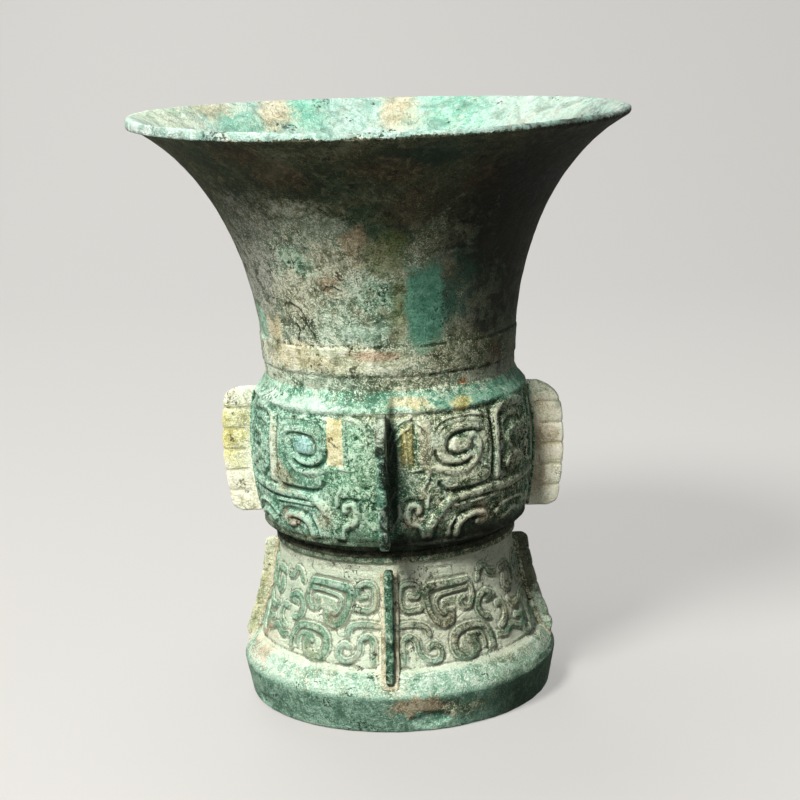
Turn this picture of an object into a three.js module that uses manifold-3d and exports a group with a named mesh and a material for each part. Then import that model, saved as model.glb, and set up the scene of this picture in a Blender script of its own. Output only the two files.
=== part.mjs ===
// Bronze goblet: a trumpet-mouthed ritual wine vessel on a hollow foot.
// Millimetres, +Z up, origin at the middle of the standing face, front flange towards -Y.
// Three castings (neck, belly, foot) sit in one another. A dished disc closes the bowl,
// eight flanges are let into grooves, and rings and beads of solder fill the corners.

import * as THREE from 'three';
import { mergeVertices } from 'three/addons/utils/BufferGeometryUtils.js';
import Module from 'manifold-3d';

const wasm = await Module();
wasm.setup();

// Heights, stacked from the standing face up
const bandHeight = 12.7;
const ledgeRise = 6.3;
const flareRise = 35;
const waistRise = 2.9;
const underRise = 3.3;
const sideRise = 41.2;
const shoulderRise = 3.7;
const neckRise = 84.6;

// Radii, each step measured from the one above or below it
const neckRadius = 40.4;
const mouthRadius = 79.5;
const shoulderStep = 4.3;
const bellyBulge = 2.15;
const bellyTaper = 0.8;
const waistUndercut = 5.7;
const waistStep = 1.2;
const flareSpread = 7.9;
const ledgeWidth = 4.6;
const bandTaper = 2.1;
const edgeRounding = 0.7;

// Walls
const neckWall = 3;
const bellyWall = 3;
const footWall = 3;
const lipThickness = 2.6;
const floorThickness = 2.6;
const floorDish = 2;

// How the neck flares: lengths of the curve's two handles, and the tilt of its lip
const neckHandle = 31.6;
const mouthHandle = 31.5;
const lipTilt = THREE.MathUtils.degToRad(29);
const flareSharpness = 1.75;

// Joints
const clearance = 0.3;
const neckSpigotDepth = 8.4;
const shelfThickness = 1.7;
const shelfSlope = 5;
const baseBoreRadius = 34;
const footSpigotRise = 3.4;
const footSpigotWall = 3.3;
const footTopThickness = 3;

// The two raised lines low on the neck
const ridgeHeights = [6.1, 15.6];
const ridgeWidth = 2.2;
const ridgeRise = 0.7;

// Solder
const ringWidth = 2.2;
const ringRise = 2.2;
const rootRingWidth = 1.4;
const beadWidth = 1;
const beadHeight = 1;

// Flanges
const bellyFlange = {
  thickness: 2.8,
  reach: 9.4,
  tongueDepth: 1.4,
  tongueInset: 3,
  topMargin: 0.4,
  bottomMargin: 0,
  topCorner: 5.5,
  tipCorner: 1.6,
  teeth: 6,
};
const footFlange = {
  thickness: 2.4,
  reach: 3.8,
  tongueDepth: 1.4,
  tongueInset: 5,
  topMargin: 4,
  bottomMargin: 3.2,
  topCorner: 1.6,
  tipCorner: 0,
  teeth: 6,
};
const notchWidth = 1.3;
const notchDepth = 0.55;

const facets = 48;

// Levels that follow from the heights
const ledgeTop = bandHeight + ledgeRise;
const footTop = ledgeTop + flareRise;
const bellyBase = footTop + clearance;
const undersideBase = bellyBase + waistRise;
const sideBase = undersideBase + underRise;
const sideTop = sideBase + sideRise;
const collarTop = sideTop + shoulderRise;
const mouthTop = collarTop + neckRise;
const spigotBase = collarTop - neckSpigotDepth;
const floorLedge = sideBase + 0.1;
const floorBase = floorLedge + clearance;
const floorTop = floorBase + floorThickness;

// Radii that follow from the steps
const collarRadius = neckRadius + clearance;
const boreRadius = neckRadius - neckWall;
const shoulderRadius = neckRadius + shoulderStep;
const bellyLowRadius = shoulderRadius - bellyTaper;
const bellyRecessRadius = bellyLowRadius - bellyWall;
const waistRadius = bellyLowRadius - waistUndercut;
const footTopRadius = waistRadius + waistStep;
const flareFootRadius = footTopRadius + flareSpread;
const bandRadius = flareFootRadius + ledgeWidth;
const standingRadius = bandRadius - bandTaper;

// Outer radius of the belly at a height, with its sloping shoulder above
function bellyAt(z) {
  if (z > sideTop) {
    const along = (z - sideTop) / shoulderRise;
    return shoulderRadius - along * (shoulderRadius - collarRadius);
  }
  const along = Math.max(z - sideBase, 0) / sideRise;
  const straight = bellyLowRadius + along * bellyTaper;
  return straight + 4 * bellyBulge * along * (1 - along);
}

// Outer radius of the foot at a height, with the sloping ledge below the flare
function footAt(z) {
  if (z < ledgeTop) {
    const along = (ledgeTop - z) / ledgeRise;
    return flareFootRadius + along * ledgeWidth;
  }
  const along = Math.max(footTop - z, 0) / flareRise;
  return footTopRadius + flareSpread * along ** flareSharpness;
}

// Radii of the foot's flare alone, carried straight down past the ledge
function flareAt(z) {
  return footAt(Math.max(z, ledgeTop));
}

function between(low, high, steps) {
  return Array.from({ length: steps + 1 }, (_, i) => low + ((high - low) * i) / steps);
}

// Levels from one height to another, with the wall's bend among them where it lies between
function levelsPast(bend, from, to, steps) {
  const levels = between(from, to, steps);
  if ((bend - from) * (bend - to) < 0) levels.push(bend);
  return levels.sort((a, b) => (a - b) * Math.sign(to - from));
}

// Turned solid from [radius, height] pairs that run up the outside and down the inside
function turned(profile) {
  const points = profile.map(([r, z]) => new THREE.Vector2(r, z));
  if (points[0].x > 0) points.push(points[0].clone());
  return new THREE.LatheGeometry(points, facets).rotateX(Math.PI / 2);
}

// Flat plate from a [radius, height] outline, standing across the X axis
function plate(outline, thickness) {
  const shape = new THREE.Shape(outline.map(([r, z]) => new THREE.Vector2(r, z)));
  const options = { depth: thickness, bevelEnabled: false };
  const geometry = new THREE.ExtrudeGeometry(shape, options);
  return geometry.translate(0, 0, -thickness / 2).rotateX(Math.PI / 2);
}

function solidOf(geometry) {
  const bare = geometry.clone();
  bare.deleteAttribute('normal');
  bare.deleteAttribute('uv');
  const merged = mergeVertices(bare, 1e-4);
  const vertProperties = new Float32Array(merged.attributes.position.array);
  const triVerts = new Uint32Array(merged.index.array);
  return new wasm.Manifold(new wasm.Mesh({ numProp: 3, vertProperties, triVerts }));
}

function geometryOf(solid) {
  const mesh = solid.getMesh();
  const indexed = new THREE.BufferGeometry();
  indexed.setAttribute('position', new THREE.BufferAttribute(mesh.vertProperties, 3));
  indexed.setIndex(new THREE.BufferAttribute(mesh.triVerts, 1));
  const geometry = indexed.toNonIndexed();
  geometry.computeVertexNormals();
  return geometry;
}

function cutAway(geometry, cutters) {
  const body = cutters.reduce((rest, cutter) => rest.subtract(solidOf(cutter)), solidOf(geometry));
  return geometryOf(body);
}

// The trumpet's outside as a curve, and the wall inside it
const lipCentre = new THREE.Vector2(mouthRadius - lipThickness / 2, mouthTop - lipThickness / 2);
const lipAlong = new THREE.Vector2(Math.cos(lipTilt), Math.sin(lipTilt));
const lipOut = new THREE.Vector2(Math.sin(lipTilt), -Math.cos(lipTilt));
const outerLip = lipCentre.clone().addScaledVector(lipOut, lipThickness / 2);
const trumpet = new THREE.CubicBezierCurve(
  new THREE.Vector2(neckRadius, collarTop),
  new THREE.Vector2(neckRadius, collarTop + neckHandle),
  outerLip.clone().addScaledVector(lipAlong, -mouthHandle),
  outerLip,
);

function trumpetAt(z) {
  const samples = trumpet.getPoints(200);
  const next = samples.findIndex((point) => point.y >= z);
  if (next < 1) return neckRadius;
  const [a, b] = [samples[next - 1], samples[next]];
  return a.x + ((b.x - a.x) * (z - a.y)) / (b.y - a.y);
}

function ridge(height) {
  const z = collarTop + height;
  const crest = trumpetAt(z) + ridgeRise;
  return [
    [trumpetAt(z - ridgeWidth / 2), z - ridgeWidth / 2],
    [crest, z - ridgeWidth / 6],
    [crest, z + ridgeWidth / 6],
    [trumpetAt(z + ridgeWidth / 2), z + ridgeWidth / 2],
  ];
}

function neckGeometry() {
  const above = collarTop + Math.max(...ridgeHeights) + ridgeWidth;
  const flare = trumpet.getPoints(14).filter((point) => point.y > above);
  const lip = between(0, Math.PI, 5).map((turn) => {
    const point = lipCentre.clone().addScaledVector(lipOut, (lipThickness / 2) * Math.cos(turn));
    return point.addScaledVector(lipAlong, (lipThickness / 2) * Math.sin(turn));
  });
  const inside = between(1, 0, 9).slice(1).map((t) => {
    const wall = neckWall + t * (lipThickness - neckWall);
    const along = trumpet.getTangent(t);
    return trumpet.getPoint(t).add(new THREE.Vector2(-along.y, along.x).multiplyScalar(wall));
  });
  return turned([
    [neckRadius, spigotBase],
    ...ridgeHeights.flatMap(ridge),
    ...flare.slice(0, -1).map(({ x, y }) => [x, y]),
    ...lip.map(({ x, y }) => [x, y]),
    ...inside.map(({ x, y }) => [x, y]),
    [boreRadius, spigotBase],
  ]);
}

function bellyGeometry() {
  const shelfTop = spigotBase - clearance;
  const shelfBase = shelfTop - shelfThickness;
  const wallTop = shelfBase - shelfSlope;
  const wallBase = floorTop + clearance + ringRise;
  const outside = between(sideBase, sideTop, 7).map((z) => [bellyAt(z), z]);
  const inside = between(wallTop, wallBase, 4).map((z) => [bellyAt(z) - bellyWall, z]);
  return turned([
    [waistRadius, bellyBase],
    [waistRadius, undersideBase],
    [bellyLowRadius - underRise * 0.7, undersideBase + underRise * 0.3],
    ...outside,
    [collarRadius, collarTop],
    [collarRadius, shelfTop],
    [boreRadius, shelfTop],
    [boreRadius, shelfBase],
    ...inside,
    [bellyRecessRadius, wallBase - ringRise],
    [bellyRecessRadius, floorLedge],
    [baseBoreRadius, floorLedge],
    [baseBoreRadius, bellyBase],
  ]);
}

function footGeometry() {
  const spigotRadius = baseBoreRadius - clearance;
  const boreOfSpigot = spigotRadius - footSpigotWall;
  const topPlateBase = footTop - footTopThickness;
  const outside = between(ledgeTop, footTop, 7).map((z) => [footAt(z), z]);
  const inside = between(topPlateBase - 1, ledgeTop, 5).map((z) => [footAt(z) - footWall, z]);
  return turned([
    [standingRadius - edgeRounding, 0],
    [standingRadius, edgeRounding],
    [bandRadius, bandHeight - edgeRounding],
    [bandRadius - edgeRounding, bandHeight + edgeRounding * (ledgeRise / ledgeWidth)],
    ...outside,
    [spigotRadius, footTop],
    [spigotRadius, footTop + footSpigotRise],
    [boreOfSpigot, footTop + footSpigotRise],
    [boreOfSpigot, topPlateBase],
    ...inside,
    [bandRadius - footWall - edgeRounding, bandHeight - edgeRounding],
    [standingRadius - footWall - edgeRounding, 0],
  ]);
}

// Dished disc: flat where it lies on the ledge, sunk in the middle
function floorGeometry() {
  const rim = bellyRecessRadius - clearance;
  const sunk = baseBoreRadius - clearance * 2;
  const dish = (r, z) => [r, z - floorDish * (1 - (r / sunk) ** 2)];
  const radii = between(0, sunk, 3);
  return turned([
    ...radii.map((r) => dish(r, floorBase)),
    [rim, floorBase],
    [rim, floorTop],
    ...radii.reverse().map((r) => dish(r, floorTop)),
  ]);
}

function neckRingGeometry() {
  const inner = collarRadius;
  const outer = collarRadius + rootRingWidth;
  const slope = shoulderRise / (shoulderRadius - collarRadius);
  const lift = clearance * Math.hypot(1, slope);
  return turned([
    [inner, collarTop + lift],
    [outer, collarTop - rootRingWidth * slope + lift],
    [inner, collarTop + lift + rootRingWidth],
  ]);
}

function floorRingGeometry() {
  const outer = bellyRecessRadius - clearance;
  const base = floorTop + clearance;
  return turned([
    [outer - ringWidth, base],
    [outer, base],
    [outer, base + ringRise],
  ]);
}

function waistRingGeometry() {
  const inner = waistRadius + clearance;
  return turned([
    [inner, bellyBase],
    [footTopRadius, bellyBase],
    [inner, bellyBase + waistStep],
  ]);
}

// Where a flange stands: its wall, its ends and the line that its outer edge follows
const bellySeat = {
  ...bellyFlange,
  wallAt: bellyAt,
  edgeAt: bellyAt,
  bend: sideTop,
  bottom: sideBase + bellyFlange.bottomMargin,
  top: sideTop - bellyFlange.topMargin,
};
const footSeat = {
  ...footFlange,
  wallAt: footAt,
  edgeAt: flareAt,
  bend: ledgeTop,
  bottom: ledgeTop - footFlange.bottomMargin,
  top: footTop - footFlange.topMargin,
};

// How far a rounded corner has fallen back at a distance into it
function cornerDrop(radius, distance) {
  const into = Math.min(Math.max(distance, 0), radius);
  return radius - Math.sqrt(radius ** 2 - into ** 2);
}

function outerEdge(seat, z) {
  const topDrop = cornerDrop(seat.topCorner, z - (seat.top - seat.topCorner));
  const tipDrop = cornerDrop(seat.tipCorner, seat.bottom + seat.tipCorner - z);
  return seat.edgeAt(z) + seat.reach - topDrop - tipDrop;
}

// The tongue runs between these heights
function tongueEnds(seat) {
  const low = seat.bottom + seat.tongueInset;
  return [low, seat.top - seat.tongueInset];
}

// Groove or tongue: follows the wall, sunk by depth, grown by grow at its two ends
function tongueEdge(seat, depth, grow) {
  const [low, high] = tongueEnds(seat);
  return between(high + grow, low - grow, 6).map((z) => [seat.wallAt(z) - depth, z]);
}

function flangeOutline(seat) {
  const [low, high] = tongueEnds(seat);
  const cornerBase = seat.top - seat.topCorner;
  const tipTop = seat.bottom + seat.tipCorner;
  const tip = between(0, 1, 3).map((s) => seat.bottom + seat.tipCorner * s).slice(0, -1);
  const corner = between(0, 1, 5).map((s) => cornerBase + seat.topCorner * s).slice(1);
  const heights = [...tip, ...between(tipTop, cornerBase, 8), ...corner];
  const outer = heights.map((z) => [outerEdge(seat, z), z]);
  const onWall = (z) => [seat.wallAt(z) + clearance, z];
  return [
    ...outer.filter(([, z], i) => i === 0 || z > outer[i - 1][1]),
    onWall(seat.top),
    onWall(high),
    ...tongueEdge(seat, seat.tongueDepth, 0),
    onWall(low),
    ...levelsPast(seat.bend, low, seat.bottom, 3).slice(1).map(onWall),
  ];
}

function grooveCutter(seat) {
  const [low, high] = tongueEnds(seat);
  const outline = [
    [seat.wallAt(low) + seat.reach, low - clearance],
    [seat.wallAt(high) + seat.reach, high + clearance],
    ...tongueEdge(seat, seat.tongueDepth + clearance, clearance),
  ];
  return plate(outline, seat.thickness + 2 * clearance);
}

// Diamond-section rods that part the teeth across both faces and the outer edge
function notchCutters(seat) {
  const pitch = (seat.top - seat.bottom) / seat.teeth;
  const levels = between(seat.bottom, seat.top, seat.teeth).slice(1, -1);
  const rod = (length, depth) => {
    const diamond = new THREE.Shape([
      new THREE.Vector2(-depth, 0),
      new THREE.Vector2(0, -notchWidth / 2),
      new THREE.Vector2(depth, 0),
      new THREE.Vector2(0, notchWidth / 2),
    ]);
    return new THREE.ExtrudeGeometry(diamond, { depth: length, bevelEnabled: false });
  };
  return levels.flatMap((z) => {
    const start = seat.wallAt(z) + clearance + beadHeight + notchWidth / 2;
    const length = seat.reach + pitch;
    const faceRod = () => rod(length, notchDepth).rotateZ(Math.PI / 2).rotateY(Math.PI / 2);
    const onFace = (side) => {
      const across = (side * seat.thickness) / 2;
      return faceRod().rotateX(Math.PI / 2).translate(start, across, z);
    };
    const edgeRod = rod(seat.thickness * 2, notchDepth * 1.5).rotateX(Math.PI / 2);
    const onEdge = edgeRod.translate(outerEdge(seat, z), seat.thickness, z);
    return [onFace(-1), onFace(1), onEdge];
  });
}

function flangeGeometry(seat) {
  return cutAway(plate(flangeOutline(seat), seat.thickness), notchCutters(seat));
}

// Solder along both sides of a flange and round one of its ends
function beadGeometry(seat, roundTop) {
  const reach = clearance + beadWidth;
  const low = roundTop ? seat.bottom + beadWidth : seat.bottom - reach;
  const high = roundTop ? seat.top + reach : seat.top - beadWidth;
  const heights = levelsPast(seat.bend, low, high, 8);
  const outline = [
    ...heights.map((z) => [seat.wallAt(z) + clearance + beadHeight, z]),
    ...heights.reverse().map((z) => [seat.wallAt(z) + clearance, z]),
  ];
  const slotLow = roundTop ? low - 1 : seat.bottom - clearance;
  const slotHigh = roundTop ? seat.top + clearance : high + 1;
  const slot = [
    [waistRadius / 2, slotLow],
    [bandRadius * 2, slotLow],
    [bandRadius * 2, slotHigh],
    [waistRadius / 2, slotHigh],
  ];
  const body = plate(outline, seat.thickness + 2 * reach);
  return cutAway(body, [plate(slot, seat.thickness + 2 * clearance)]);
}

function bronze(color, roughness, metalness) {
  return new THREE.MeshStandardMaterial({ color, roughness, metalness });
}

const goblet = new THREE.Group();

function add(name, geometry, material, turn = 0) {
  const mesh = new THREE.Mesh(geometry, material);
  mesh.name = name;
  mesh.rotation.z = turn;
  goblet.add(mesh);
}

const sides = { right: 0, back: Math.PI / 2, left: Math.PI, front: -Math.PI / 2 };

function turnedBy(seat) {
  return Object.values(sides).map((turn) => grooveCutter(seat).rotateZ(turn));
}

add('neck', neckGeometry(), bronze(0x77806a, 0.8, 0.25));
add('belly', cutAway(bellyGeometry(), turnedBy(bellySeat)), bronze(0x6f9c84, 0.8, 0.25));
add('bowl_floor', floorGeometry(), bronze(0x6a7a66, 0.85, 0.2));
add('foot', cutAway(footGeometry(), turnedBy(footSeat)), bronze(0x86a48c, 0.8, 0.2));
add('neck_braze_ring', neckRingGeometry(), bronze(0x7fb39c, 0.85, 0.15));
add('floor_braze_ring', floorRingGeometry(), bronze(0x8c8a70, 0.85, 0.2));
add('waist_braze_ring', waistRingGeometry(), bronze(0x4a4636, 0.9, 0.2));

for (const [side, turn] of Object.entries(sides)) {
  const pale = bronze(0xc9c59c, 0.85, 0.1);
  const green = bronze(0x3f6650, 0.8, 0.25);
  const filler = bronze(0xd2cdb0, 0.9, 0.05);
  const bellyMetal = side === 'front' ? green : pale;
  add(`belly_flange_${side}`, flangeGeometry(bellySeat), bellyMetal, turn);
  add(`belly_flange_bead_${side}`, beadGeometry(bellySeat, true), filler.clone(), turn);
  add(`foot_flange_${side}`, flangeGeometry(footSeat), bronze(0x4d7a62, 0.8, 0.25), turn);
  add(`foot_flange_bead_${side}`, beadGeometry(footSeat, false), filler, turn);
}

export default goblet;
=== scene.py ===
import math
import bpy
import numpy as np
from mathutils import Matrix, Vector


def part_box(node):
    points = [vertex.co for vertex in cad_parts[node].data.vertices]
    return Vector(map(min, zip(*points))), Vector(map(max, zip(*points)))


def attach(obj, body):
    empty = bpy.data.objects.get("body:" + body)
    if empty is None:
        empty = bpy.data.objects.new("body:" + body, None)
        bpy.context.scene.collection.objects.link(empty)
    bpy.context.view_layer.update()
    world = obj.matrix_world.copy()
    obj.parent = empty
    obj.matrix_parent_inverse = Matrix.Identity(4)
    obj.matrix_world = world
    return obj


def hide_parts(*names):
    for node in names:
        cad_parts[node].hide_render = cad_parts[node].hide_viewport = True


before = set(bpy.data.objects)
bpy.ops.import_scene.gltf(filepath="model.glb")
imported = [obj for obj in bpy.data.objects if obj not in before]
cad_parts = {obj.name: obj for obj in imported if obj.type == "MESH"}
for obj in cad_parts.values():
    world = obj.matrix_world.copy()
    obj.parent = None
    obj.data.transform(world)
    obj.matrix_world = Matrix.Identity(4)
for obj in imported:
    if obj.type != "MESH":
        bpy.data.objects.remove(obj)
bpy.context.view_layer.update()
mm = 0.001
body = "root"
print("frame loaded")


# Small helpers for modelling
def deselectEverything():
    if bpy.context.object and bpy.context.object.mode != "OBJECT":
        bpy.ops.object.mode_set(mode="OBJECT")
    bpy.ops.object.select_all(action="DESELECT")


def chooseOnly(piece):
    deselectEverything()
    bpy.context.view_layer.objects.active = piece
    piece.select_set(True)


def editMode():
    bpy.ops.object.mode_set(mode="EDIT")


def objectMode():
    bpy.ops.object.mode_set(mode="OBJECT")


def startPoint(name, x, y, z):
    deselectEverything()
    bpy.ops.mesh.primitive_plane_add(size=mm, location=(0, 0, 0))
    piece = bpy.context.object
    piece.name = name
    piece.data.name = name
    editMode()
    bpy.ops.mesh.select_all(action="SELECT")
    bpy.ops.mesh.merge(type="CENTER")
    bpy.ops.transform.translate(value=(x * mm, y * mm, z * mm))
    return piece


def extrudeBy(x, y, z):
    bpy.ops.mesh.extrude_region_move(TRANSFORM_OT_translate={"value": (x * mm, y * mm, z * mm)})


def traceOutline(name, outline):
    (r, z) = outline[0]
    piece = startPoint(name, r, 0, z)
    for (nextR, nextZ) in outline[1:]:
        extrudeBy(nextR - r, 0, nextZ - z)
        (r, z) = (nextR, nextZ)
    return piece


def tidyShell():
    bpy.ops.mesh.select_all(action="SELECT")
    bpy.ops.mesh.remove_doubles(threshold=0.02 * mm)
    bpy.ops.mesh.normals_make_consistent(inside=False)


def turnOnLathe(name, outline, steps):
    piece = traceOutline(name, outline)
    objectMode()
    turn = piece.modifiers.new("turn", "SCREW")
    (turn.axis, turn.angle) = ("Z", 2 * math.pi)
    (turn.steps, turn.render_steps) = (steps, steps)
    (turn.use_merge_vertices, turn.merge_threshold) = (True, 0.01 * mm)
    applyModifiers(piece)
    editMode()
    tidyShell()
    objectMode()
    bpy.ops.object.shade_smooth()
    return piece


def applyModifiers(piece):
    chooseOnly(piece)
    for modifier in list(piece.modifiers):
        bpy.ops.object.modifier_apply(modifier=modifier.name)


def readPoints(piece):
    points = np.empty(len(piece.data.vertices) * 3)
    piece.data.vertices.foreach_get("co", points)
    return points.reshape(-1, 3) / mm


def readNormals(piece):
    normals = np.empty(len(piece.data.vertices) * 3)
    piece.data.vertex_normals.foreach_get("vector", normals)
    return normals.reshape(-1, 3)


def writePoints(piece, points):
    piece.data.vertices.foreach_set("co", (points * mm).ravel())
    piece.data.update()


def writeMask(piece, name, values):
    layer = piece.data.attributes.new(name, "FLOAT", "POINT")
    layer.data.foreach_set("value", np.asarray(values, np.float32))


def smoothStep(low, high, value):
    t = np.clip((value - low) / (high - low), 0, 1)
    return t * t * (3 - 2 * t)


def lumps(points, cell, seed):  # smooth noise between -1 and 1, cell in mm
    lattice = np.random.default_rng(seed).uniform(-1, 1, (40, 40, 40))
    scaled = points / cell + 400
    low = np.floor(scaled).astype(int)
    f = scaled - low
    f = f * f * (3 - 2 * f)
    total = np.zeros(len(points))
    for i in (0, 1):
        for j in (0, 1):
            for k in (0, 1):
                weight = np.abs(1 - i - f[:, 0]) * np.abs(1 - j - f[:, 1]) * np.abs(1 - k - f[:, 2])
                corner = (low + (i, j, k)) % 40
                total += weight * lattice[corner[:, 0], corner[:, 1], corner[:, 2]]
    return total


def castSkin(points, seed):  # uneven skin of an old casting, about -1 to 1
    coarse = lumps(points, 9, seed) * 0.5
    middle = lumps(points, 3.2, seed + 1) * 0.35
    return coarse + middle + lumps(points, 1.3, seed + 2) * 0.25


def turnFromFront(points):  # angle round the axis, 0 at the front flange, + towards +X
    return np.arctan2(points[:, 0], -points[:, 1])


def steps(low, high, count):
    return [low + (high - low) * i / count for i in range(count + 1)]


# Carving: strokes drawn on the flat, one quarter of the vessel from a mask's nose to its side
def softPath(points, cuts=5):
    p = np.array(points, float)
    if len(p) < 3:
        return p
    ends = np.vstack([2 * p[0] - p[1], p, 2 * p[-1] - p[-2]])
    path = []
    for i in range(len(p) - 1):
        (a, b, c, d) = ends[i:i + 4]
        for t in np.linspace(0, 1, cuts, endpoint=False):
            path.append(0.5 * (2 * b + (c - a) * t + (2 * a - 5 * b + 4 * c - d) * t ** 2
                               + (3 * b - a - 3 * c + d) * t ** 3))
    path.append(p[-1])
    return np.array(path)


def distanceToPath(path, u, z):
    nearest = np.full(u.shape, 1e9)
    for (a, b) in zip(path[:-1], path[1:]):
        along = b - a
        t = ((u - a[0]) * along[0] + (z - a[1]) * along[1]) / max(along @ along, 1e-9)
        t = np.clip(t, 0, 1)
        nearest = np.minimum(nearest, np.hypot(u - a[0] - t * along[0], z - a[1] - t * along[1]))
    return nearest


def blurred(field, sigma):
    rows = np.fft.fftfreq(field.shape[0])[:, None]
    columns = np.fft.rfftfreq(field.shape[1])[None, :]
    kernel = np.exp(-2 * (math.pi * sigma) ** 2 * (rows ** 2 + columns ** 2))
    return np.fft.irfft2(np.fft.rfft2(field) * kernel, field.shape)


def drawCarving(design):
    cell = design["cell"]
    (low, high) = design["heights"]
    (u, z) = np.meshgrid(np.arange(0, design["width"] + cell, cell), np.arange(low, high, cell))
    field = np.full(u.shape, design["ground"])
    for (centreU, centreZ, halfU, halfZ, level) in design["plateaus"]:
        corner = 2.2
        outU = np.maximum(np.abs(u - centreU) - halfU + corner, 0)
        outZ = np.maximum(np.abs(z - centreZ) - halfZ + corner, 0)
        inside = smoothStep(corner + 0.4, corner - 0.5, np.hypot(outU, outZ))
        field = np.maximum(field, level * inside)
    gap = np.full(u.shape, 9.0)
    for (width, level, points) in design["ridges"] + design["grooves"]:
        path = softPath(points)
        reach = width / 2 + 2
        rows = (z[:, 0] > path[:, 1].min() - reach) & (z[:, 0] < path[:, 1].max() + reach)
        columns = (u[0] > path[:, 0].min() - reach) & (u[0] < path[:, 0].max() + reach)
        part = np.ix_(rows, columns)
        away = distanceToPath(path, u[part], z[part])
        if level > 0:
            rounded = (1 - np.clip(away / (width / 2 + 0.3), 0, 1) ** 3) ** 0.8
            field[part] = np.maximum(field[part], level * rounded)
            gap[part] = np.minimum(gap[part], away - width / 2)
        else:
            field[part] += level * smoothStep(width / 2 + 0.35, max(width / 2 - 0.5, 0), away)
    field -= design["moat"] * np.exp(-((gap - 0.5) / 0.45) ** 2) * (gap > 0)  # sunk line beside each ridge
    field = blurred(np.maximum(field, -0.1), design["wear"] / cell)
    return {"field": field, "crest": field - blurred(field, 1.0 / cell), "low": low, "cell": cell}


def sampleMap(values, carving, u, z):
    column = np.clip(u / carving["cell"], 0, values.shape[1] - 1.001)
    row = np.clip((z - carving["low"]) / carving["cell"], 0, values.shape[0] - 1.001)
    (i, j) = (row.astype(int), column.astype(int))
    (fi, fj) = (row - i, column - j)
    top = values[i + 1, j] * (1 - fj) + values[i + 1, j + 1] * fj
    return (values[i, j] * (1 - fj) + values[i, j + 1] * fj) * (1 - fi) + top * fi


def mirrored(strokes, width):
    return [(w, level, [(width - u, z) for (u, z) in points]) for (w, level, points) in strokes]


# Levels and radii, in mm, from the frame and a few sizes of the castings
(bellyBox, footBox, neckBox) = (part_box("belly"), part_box("foot"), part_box("neck"))
clearance = 0.3
collarTop = bellyBox[1].z / mm
bellyBase = bellyBox[0].z / mm
footTop = bellyBase - clearance
mouthTop = neckBox[1].z / mm
mouthRadius = neckBox[1].x / mm
neckRadius = 40.4
neckBore = neckRadius - 3
collarRadius = neckRadius + clearance
spigotBase = neckBox[0].z / mm

bellyShape = {
    "sideBase": bellyBase + 6.2,
    "sideTop": collarTop - 3.7,
    "lowRadius": 43.9,
    "topRadius": 44.7,
    "bulge": 2.15,
    "waistRadius": 38.2,
    "wall": 3,
    "baseBore": 34,
    "lipRound": 2.6,
    "undercut": 3.3,
    "rows": 102,
    "columns": 660,
}
footShape = {
    "bandTop": 12.7,
    "ledgeTop": 19,
    "topRadius": 39.4,
    "spread": 7.9,
    "sharpness": 1.75,
    "bandRadius": footBox[1].x / mm,
    "standingRadius": 49.8,
    "wall": 3,
    "spigot": 33.7,
    "spigotBore": 30.4,
    "spigotRise": 3.4,
    "edgeRound": 0.9,
    "rows": 88,
    "columns": 660,
    "chips": [(14, 4.2, 7, 2.6, 0.9), (22, 8.6, 4, 1.8, 0.5), (-58, 3, 5, 2, 0.6), (131, 10, 6, 2.4, 0.7)],
}
castWear = {
    "strayAcross": 0.4,  # how far a stroke leaves its line, in mm
    "strayUp": 0.45,
    "worn": 0.14,  # share of the relief that is worn away
    "wornOnBumps": 0.08,
    "skin": 0.17,  # height of the uneven skin
    "shrink": 0.1,
    "looseSkin": 0.22,  # on flanges, beads and rings
}


def bellyAt(z):
    s = bellyShape
    along = np.clip((z - s["sideBase"]) / (s["sideTop"] - s["sideBase"]), 0, 1)
    straight = s["lowRadius"] + along * (s["topRadius"] - s["lowRadius"])
    slope = (s["topRadius"] - collarRadius) / (collarTop - s["sideTop"])
    return straight + 4 * s["bulge"] * along * (1 - along) - np.maximum(z - s["sideTop"], 0) * slope


def footAt(z):
    s = footShape
    along = np.clip((footTop - z) / (footTop - s["ledgeTop"]), 0, 1)
    ledge = (s["bandRadius"] - s["topRadius"] - s["spread"]) / (s["ledgeTop"] - s["bandTop"])
    return s["topRadius"] + s["spread"] * along ** s["sharpness"] + np.maximum(s["ledgeTop"] - z, 0) * ledge


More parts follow.
